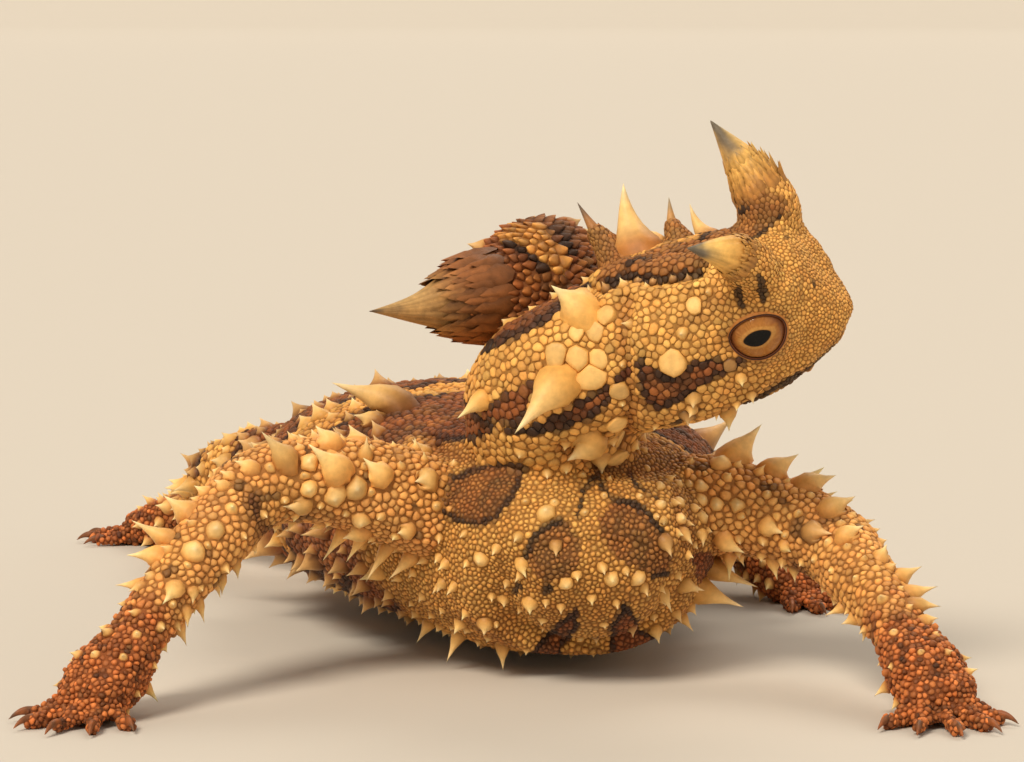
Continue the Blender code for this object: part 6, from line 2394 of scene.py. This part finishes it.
# ---------------------------------------------------------------- the whole coat
@dataclass
class Coat:
    """Skin, scales and spines with the same markings."""

    body: Anatomy
    skin: Skin
    hide: Hide
    sower: Sower
    pieces: list = field(default_factory=list)

    def paint(self, sites: Sites) -> tuple:
        """Colour and darkness of the hide at each site."""
        return self.hide.colour(sites.place, unit(sites.normal), sites.part, sites.t, sites.angle)

    def build(self) -> list:
        """Make the skin piece, the scales and the spines.

        Returns:
            pieces with the names of their finishes.
        """
        self.sower.fill_pool()
        plan = SpinePlan(self.skin, self.body, self.sower, self.hide)
        cones = plan.build()
        order = np.random.default_rng(9).permutation(len(self.sower.pool.radius))
        chosen = self.sower.sow(order, self.sower.pool.radius)
        small = self.sower.settle(chosen)
        LOG.info("%d small scales", len(small.radius))
        everything = Sites.join([small, cones.sites])
        scutes = Scutes(everything, self.skin, plan.tree)
        self.scale_pieces(scutes, small)
        self.spine_pieces(scutes, cones)
        self.skin_piece()
        return self.pieces

    def groups(self, sites: Sites) -> dict:
        """Divide sites by the length of body that they are on.

        Args:
            sites: where the scales or spines stand.

        Returns:
            which sites belong to each named length.
        """
        front = (sites.part == Part.TRUNK) & (sites.place[:, 1] < 24)
        tail = (sites.part == Part.TRUNK) & (sites.t > 8.0)
        middle = (sites.part == Part.TRUNK) & ~front & ~tail
        upper = np.sin(sites.angle) > 0
        head = sites.part == Part.HEAD
        snout = head & (self.body.head_coords(sites.place)[:, 0] > -8.0) & (sites.t < 8)
        made = {"head": head & ~snout, "snout": snout, "neck": sites.part == Part.NECK,
                "knob": sites.part == Part.KNOB, "chest": front, "back": middle & upper,
                "belly": middle & ~upper, "tail": tail}
        for part in ARMS + LEGS:
            made[part.name.lower()] = sites.part == part
        return made

    def span(self, sites: Sites) -> tuple:
        """First and last t of a set of sites."""
        return float(sites.t.min()), float(sites.t.max()) + 1e-3

    def scale_pieces(self, scutes: Scutes, small: Sites) -> None:
        """Make the small scales of each length of body.

        Args:
            scutes: maker of the meshes.
            small: sites of the small scales.
        """
        for name, which in self.groups(small).items():
            sites = small.pick(which)
            profile = {"head": PEBBLE, "neck": PEBBLE, "knob": LEAF, "chest": GRAIN}.get(name, GRANULE)
            base, dark = self.paint(sites)
            rng = np.random.default_rng(len(name) + 3)
            dusty = (sites.part >= Part.ARM_RIGHT) & (sites.t > 5.4)
            tone = 1 + np.where(dusty, 0.34, 0.15)[:, None] * rng.standard_normal((len(dark), 1)).clip(-2, 2)
            warm = rng.random((len(dark), 1))
            base = base * tone * (1 + (warm - 0.5) * np.array((0.0, 0.14, 0.24)))
            # painted shade at the foot of each scale and a painted highlight on its top
            colours = np.clip(base[:, None] * self.shade(profile, name)[None], TINT_LEAST, TINT_MOST)
            fine = name in ("head", "snout", "neck")
            gap = 0.022 if fine else 0.03
            tall = sites.radius * (0.40 if fine else 0.62) * rng.uniform(0.75, 1.3, len(dark))
            tall = np.where(dusty, tall * rng.uniform(0.5, 2.3, len(dark)), tall)
            tilt = unit(sites.normal + 0.09 * rng.standard_normal((len(dark), 3)))
            sites = Sites(sites.place, tilt, sites.radius, sites.part, sites.t, sites.angle)
            lean = np.zeros((len(dark), 3))
            if name == "knob":
                across = KNOB_ACROSS * np.sign(dot(sites.place - KNOB_MIDDLE, KNOB_ACROSS))[:, None]
                tall = sites.radius * rng.uniform(0.6, 0.95, len(dark))
                lean = across * (sites.radius * rng.uniform(1.2, 1.8, len(dark)))[:, None]
            elif name == "head":
                lean = self.climb(sites) * (sites.radius * rng.uniform(0.9, 1.5, len(dark)))[:, None]
            item = scutes.mesh("scales_" + name, sites, profile, tall, lean, colours, gap, self.span(sites))
            self.pieces.append((item, "scales"))
            LOG.info("scales_%s: %d scales, %d triangles", name, len(dark), len(dark) * profile.triangles)

    def shade(self, profile: Profile, name: str) -> Array:
        """Painted light and shade on each ring of a scale: painted shade at its dark warm foot, a painted highlight on
        its pale top.

        Args:
            profile: shape of the scale.
            name: length of body that carries it.

        Returns:
            rings + 1 by 3 factors.
        """
        highs = np.array([high for _, high in profile.rings] + [1.0])
        top = {"knob": 1.6, "chest": 1.3}.get(name, 1.14)
        level = np.interp(highs, (-0.3, 0.3, 0.75, 1.0), (0.38, 0.74, 0.98, top))
        warm = np.array([np.interp(highs, (-0.3, 0.5), (low, 1.0)) for low in (1.0, 0.72, 0.45)]).T
        return level[:, None] * warm

    def climb(self, sites: Sites) -> Array:
        """Way along the horn or crest spine under each scale of the head, zero on the rest of it.

        Args:
            sites: where the scales or spines stand.

        Returns:
            N by 3 directions.
        """
        made = np.zeros((len(sites.t), 3))
        for index, side in enumerate((-1, 1)):
            first = HORN_T + ROOT_STEP * index
            here = (sites.t > first - 0.05) & (sites.t < first + 1.05)
            if here.any():
                made[here] = self.body.horn_tube(side).axes((sites.t[here] - first) * HORN_BOSS)[0]
        for index, (root, tip, _, _) in enumerate(GREAT_SPINES):
            first = CREST_T + ROOT_STEP * index
            made[(sites.t > first - 0.05) & (sites.t < first + 1.05)] = unit(np.array(tip) - np.array(root))
        return made - sites.normal * dot(made, sites.normal)[:, None]

    def spine_pieces(self, scutes: Scutes, cones: Cones) -> None:
        """Make the spines of each length of body, great and small.

        Args:
            scutes: maker of the meshes.
            cones: all spines.
        """
        for name, which in self.groups(cones.sites).items():
            big_ones = cones.sites.radius > 0.80
            round_top = DOME if name in ("neck", "head") else BUTTON
            for kind, profile, chosen in (("domes", round_top, cones.kind == Kind.DOME),
                                          ("spines", GREAT_CONE, (cones.kind == Kind.CONE) & big_ones),
                                          ("thorns", SMALL_CONE, (cones.kind == Kind.CONE) & ~big_ones)):
                here = which & chosen
                if not here.any():
                    continue
                some = cones.pick(here)
                base, dark = self.paint(some.sites)
                dark = np.where(some.dark >= 0, some.dark, dark * 0.8)
                heights = np.array([max(h, 0.0) for _, h in profile.rings] + [1.0])
                if kind == "domes":
                    heights = heights * (0.42 if name in ("neck", "head") else 0.85)
                pale = mix(STRAW, CREAM, smooth(0.12, 0.55, heights))
                pale = mix(pale, IVORY, smooth(0.55, 0.95, heights))
                brown = mix((0.22, 0.075, 0.022), (0.46, 0.22, 0.07), smooth(0.0, 0.6, heights))
                brown = mix(brown, (0.70, 0.45, 0.19), smooth(0.6, 1.0, heights))
                body_tone = pale[None] * (1 - dark[:, None, None]) + brown[None] * dark[:, None, None]
                rise = smooth(-0.02, 0.42, heights)[None, :, None]
                colours = base[:, None] * (1 - rise) + body_tone * rise
                # painted shade at the foot of each spine, where it meets the hide
                colours[:, 0] *= 0.5
                rng = np.random.default_rng(len(name) + 17)
                colours = np.clip(colours * (1 + 0.07 * rng.standard_normal((len(dark), 1, 1))), TINT_LEAST, TINT_MOST)
                item = scutes.mesh(f"{kind}_{name}", some.sites, profile, some.length, some.lean, colours, 0.025,
                                   self.span(some.sites), some.axis)
                self.pieces.append((item, "spines"))
                LOG.info("%s_%s: %d, %d triangles", kind, name, len(dark), len(dark) * profile.triangles)

    def skin_piece(self) -> None:
        """Make the one skin, darker than the scales as painted shade in the grooves between them."""
        s = self.skin
        base, _ = self.hide.colour(s.points, s.normals, s.part, s.t, s.angle)
        # painted shade: the skin in the grooves is darker than the scales
        skin = make_object("skin", s.points, [s.faces], np.clip(base * 0.5 * np.array((1.0, 0.9, 0.8)), TINT_LEAST, 1))
        self.pieces.append((skin, "skin"))
        for side in (-1, 1):
            rings = Lids(self.body).rings(side)
            quads = ring_quads(len(rings[0]), len(rings))
            points = np.concatenate(rings)
            tone = np.repeat(Lids(self.body).tones, len(rings[0]), 0)
            tone = tone * (1 + 0.2 * noise(points, 0.35, 5))[:, None]
            if side > 0:
                quads = quads[:, ::-1]
            lid = make_object("lid_left" if side > 0 else "lid_right", points, [quads], np.clip(tone, TINT_LEAST, 1))
            self.pieces.append((lid, "scales"))


@dataclass(frozen=True)
class Studio:
    """Camera, floor and soft lamps."""

    floor_flat: float = 8.0
    floor_rise: float = 4.0
    key: float = 2.7
    fill: float = 0.5
    rim: float = 0.9

    def build(self) -> None:
        """Set up the room."""
        self.camera()
        self.floor()
        self.lamp("key", (0.42, 0.62, -0.86), 0.4, self.key, (1.0, 0.88, 0.72))
        self.lamp("fill", (-0.80, 0.50, -0.45), 0.9, self.fill, (1.0, 0.90, 0.78))
        self.lamp("rim", (-0.25, -0.65, -0.72), 0.5, self.rim, (1.0, 0.90, 0.76))
        world = bpy.data.worlds.new("room")
        world.use_nodes = True
        back = world.node_tree.nodes["Background"]
        back.inputs["Color"].default_value = (1.0, 0.91, 0.80, 1.0)
        back.inputs["Strength"].default_value = 0.36
        bpy.context.scene.world = world
        bpy.context.scene.view_settings.view_transform = "Standard"

    def camera(self) -> None:
        """Stand the camera where the photograph was taken."""
        data = bpy.data.cameras.new("camera")
        data.sensor_width = 36.0
        data.lens = 36.0 * PLATE.far / (PLATE.width / PLATE.scale)
        data.clip_start, data.clip_end = 0.001, 60.0
        item = bpy.data.objects.new("camera", data)
        item.rotation_euler = (math.pi / 2 - PLATE.lift, 0.0, 0.0)
        item.location = Vector((np.array(PLATE.aim) + SHIFT - PLATE.ahead * PLATE.far) * MM)
        bpy.context.scene.collection.objects.link(item)
        bpy.context.scene.camera = item

    def floor(self) -> None:
        """Lay the pale floor."""
        steps, turns = 60, 96
        rows = [(self.floor_flat, 0.0)]
        for a in np.linspace(0, math.pi / 2, steps)[1:]:
            rows.append((self.floor_flat + self.floor_rise * math.sin(a), self.floor_rise * (1 - math.cos(a))))
        places = [(r * math.cos(k * TAU / turns), r * math.sin(k * TAU / turns), z)
                  for r, z in rows for k in range(turns)]
        faces = [tuple(range(turns)), *ring_quads(turns, steps).tolist()]
        data = bpy.data.meshes.new("floor")
        data.from_pydata(places, [], faces)
        item = bpy.data.objects.new("floor", data)
        bpy.context.scene.collection.objects.link(item)
        made = bpy.data.materials.new("floor_pale")
        made.use_nodes = True
        shader = made.node_tree.nodes["Principled BSDF"]
        shader.inputs["Base Color"].default_value = (0.62, 0.585, 0.53, 1.0)
        shader.inputs["Roughness"].default_value = 0.9
        data.materials.append(made)
        item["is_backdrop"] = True

    def lamp(self, name: str, way: tuple, angle: float, power: float, colour: tuple) -> None:
        """Hang one broad soft lamp, so far off that it falls evenly.

        Args:
            name: name of the lamp.
            way: where it shines.
            angle: how soft it is.
            power: how strong it is.
            colour: its colour.
        """
        data = bpy.data.lights.new(name, "SUN")
        data.energy, data.angle, data.color = power, angle, colour
        item = bpy.data.objects.new(name, data)
        item.rotation_euler = Vector(way).to_track_quat("-Z", "Y").to_euler()
        bpy.context.scene.collection.objects.link(item)


def corners() -> list:
    """The whole object's box as plain lists."""
    low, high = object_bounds()
    return [list(low), list(high)]


def main() -> None:
    """Build every piece and set it on the frame."""
    logging.basicConfig(level=logging.INFO, format="%(message)s", stream=sys.stdout)
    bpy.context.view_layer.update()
    body = Anatomy()
    skin = Skin(body)
    skin.build()
    LOG.info("skin: %d points, %d faces", len(skin.points), len(skin.faces))
    hide = Hide(body)
    coat = Coat(body, skin, hide, Sower(skin, body))
    finishes = {
        "skin": HideFinish("hide_groove", rough=0.8, mottle=0.2, bump=0.3).make(),
        "scales": HideFinish("hide_scales", rough=0.6, mottle=0.14, bump=0.22).make(),
        "spines": HideFinish("spine_horn", rough=0.5, mottle=0.12, grain=1500.0, bump=0.2).make(),
        "horn": HideFinish("brow_horn", rough=0.48, mottle=0.16, grain=1800.0, bump=0.25).make(),
        "claw": HideFinish("claw_horn", rough=0.5, mottle=0.2, bump=0.2).make(),
        "eye": EyeFinish().make(),
    }
    pieces = coat.build()
    for side in (-1, 1):
        far = "left" if side > 0 else "right"
        pieces.append((Horn("browhorn_" + far, body.horn_tube(side), 1.6,
                            (1.72, 2.45 if side > 0 else 2.0, 0.19), 0.62 if side > 0 else 0.45, BROW_TONES,
                            40 + side).build(), "horn"))
        pieces.append((Horn("knobhorn_" + far, body.knob_tube(side), 1.5, (0.95, 2.15, 0.24), 1.55, KNOB_TONES,
                            50 + side, 0.0, 0.32).build(), "horn"))
        pieces.append((Eye(body, side).build(), "eye"))
    pieces.append((Crest(body).build(), "spines"))
    for part in ARMS + LEGS:
        pieces.append((Claws(body, part).build(), "claw"))
    for item, kind in pieces:
        item.data.materials.append(finishes[kind])
        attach(item, "root")
    flesh = [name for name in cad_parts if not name.startswith(("eye", "horn"))]
    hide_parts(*flesh)
    for side in ("left", "right"):
        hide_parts("eye_" + side)
        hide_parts("horn_" + side)
    Studio().build()
    total = sum(len(item.data.loops) - 2 * len(item.data.polygons) for item, _ in pieces)
    LOG.info("%d pieces, %d triangles", len(pieces), total)


if __name__ == "__main__":
    main()
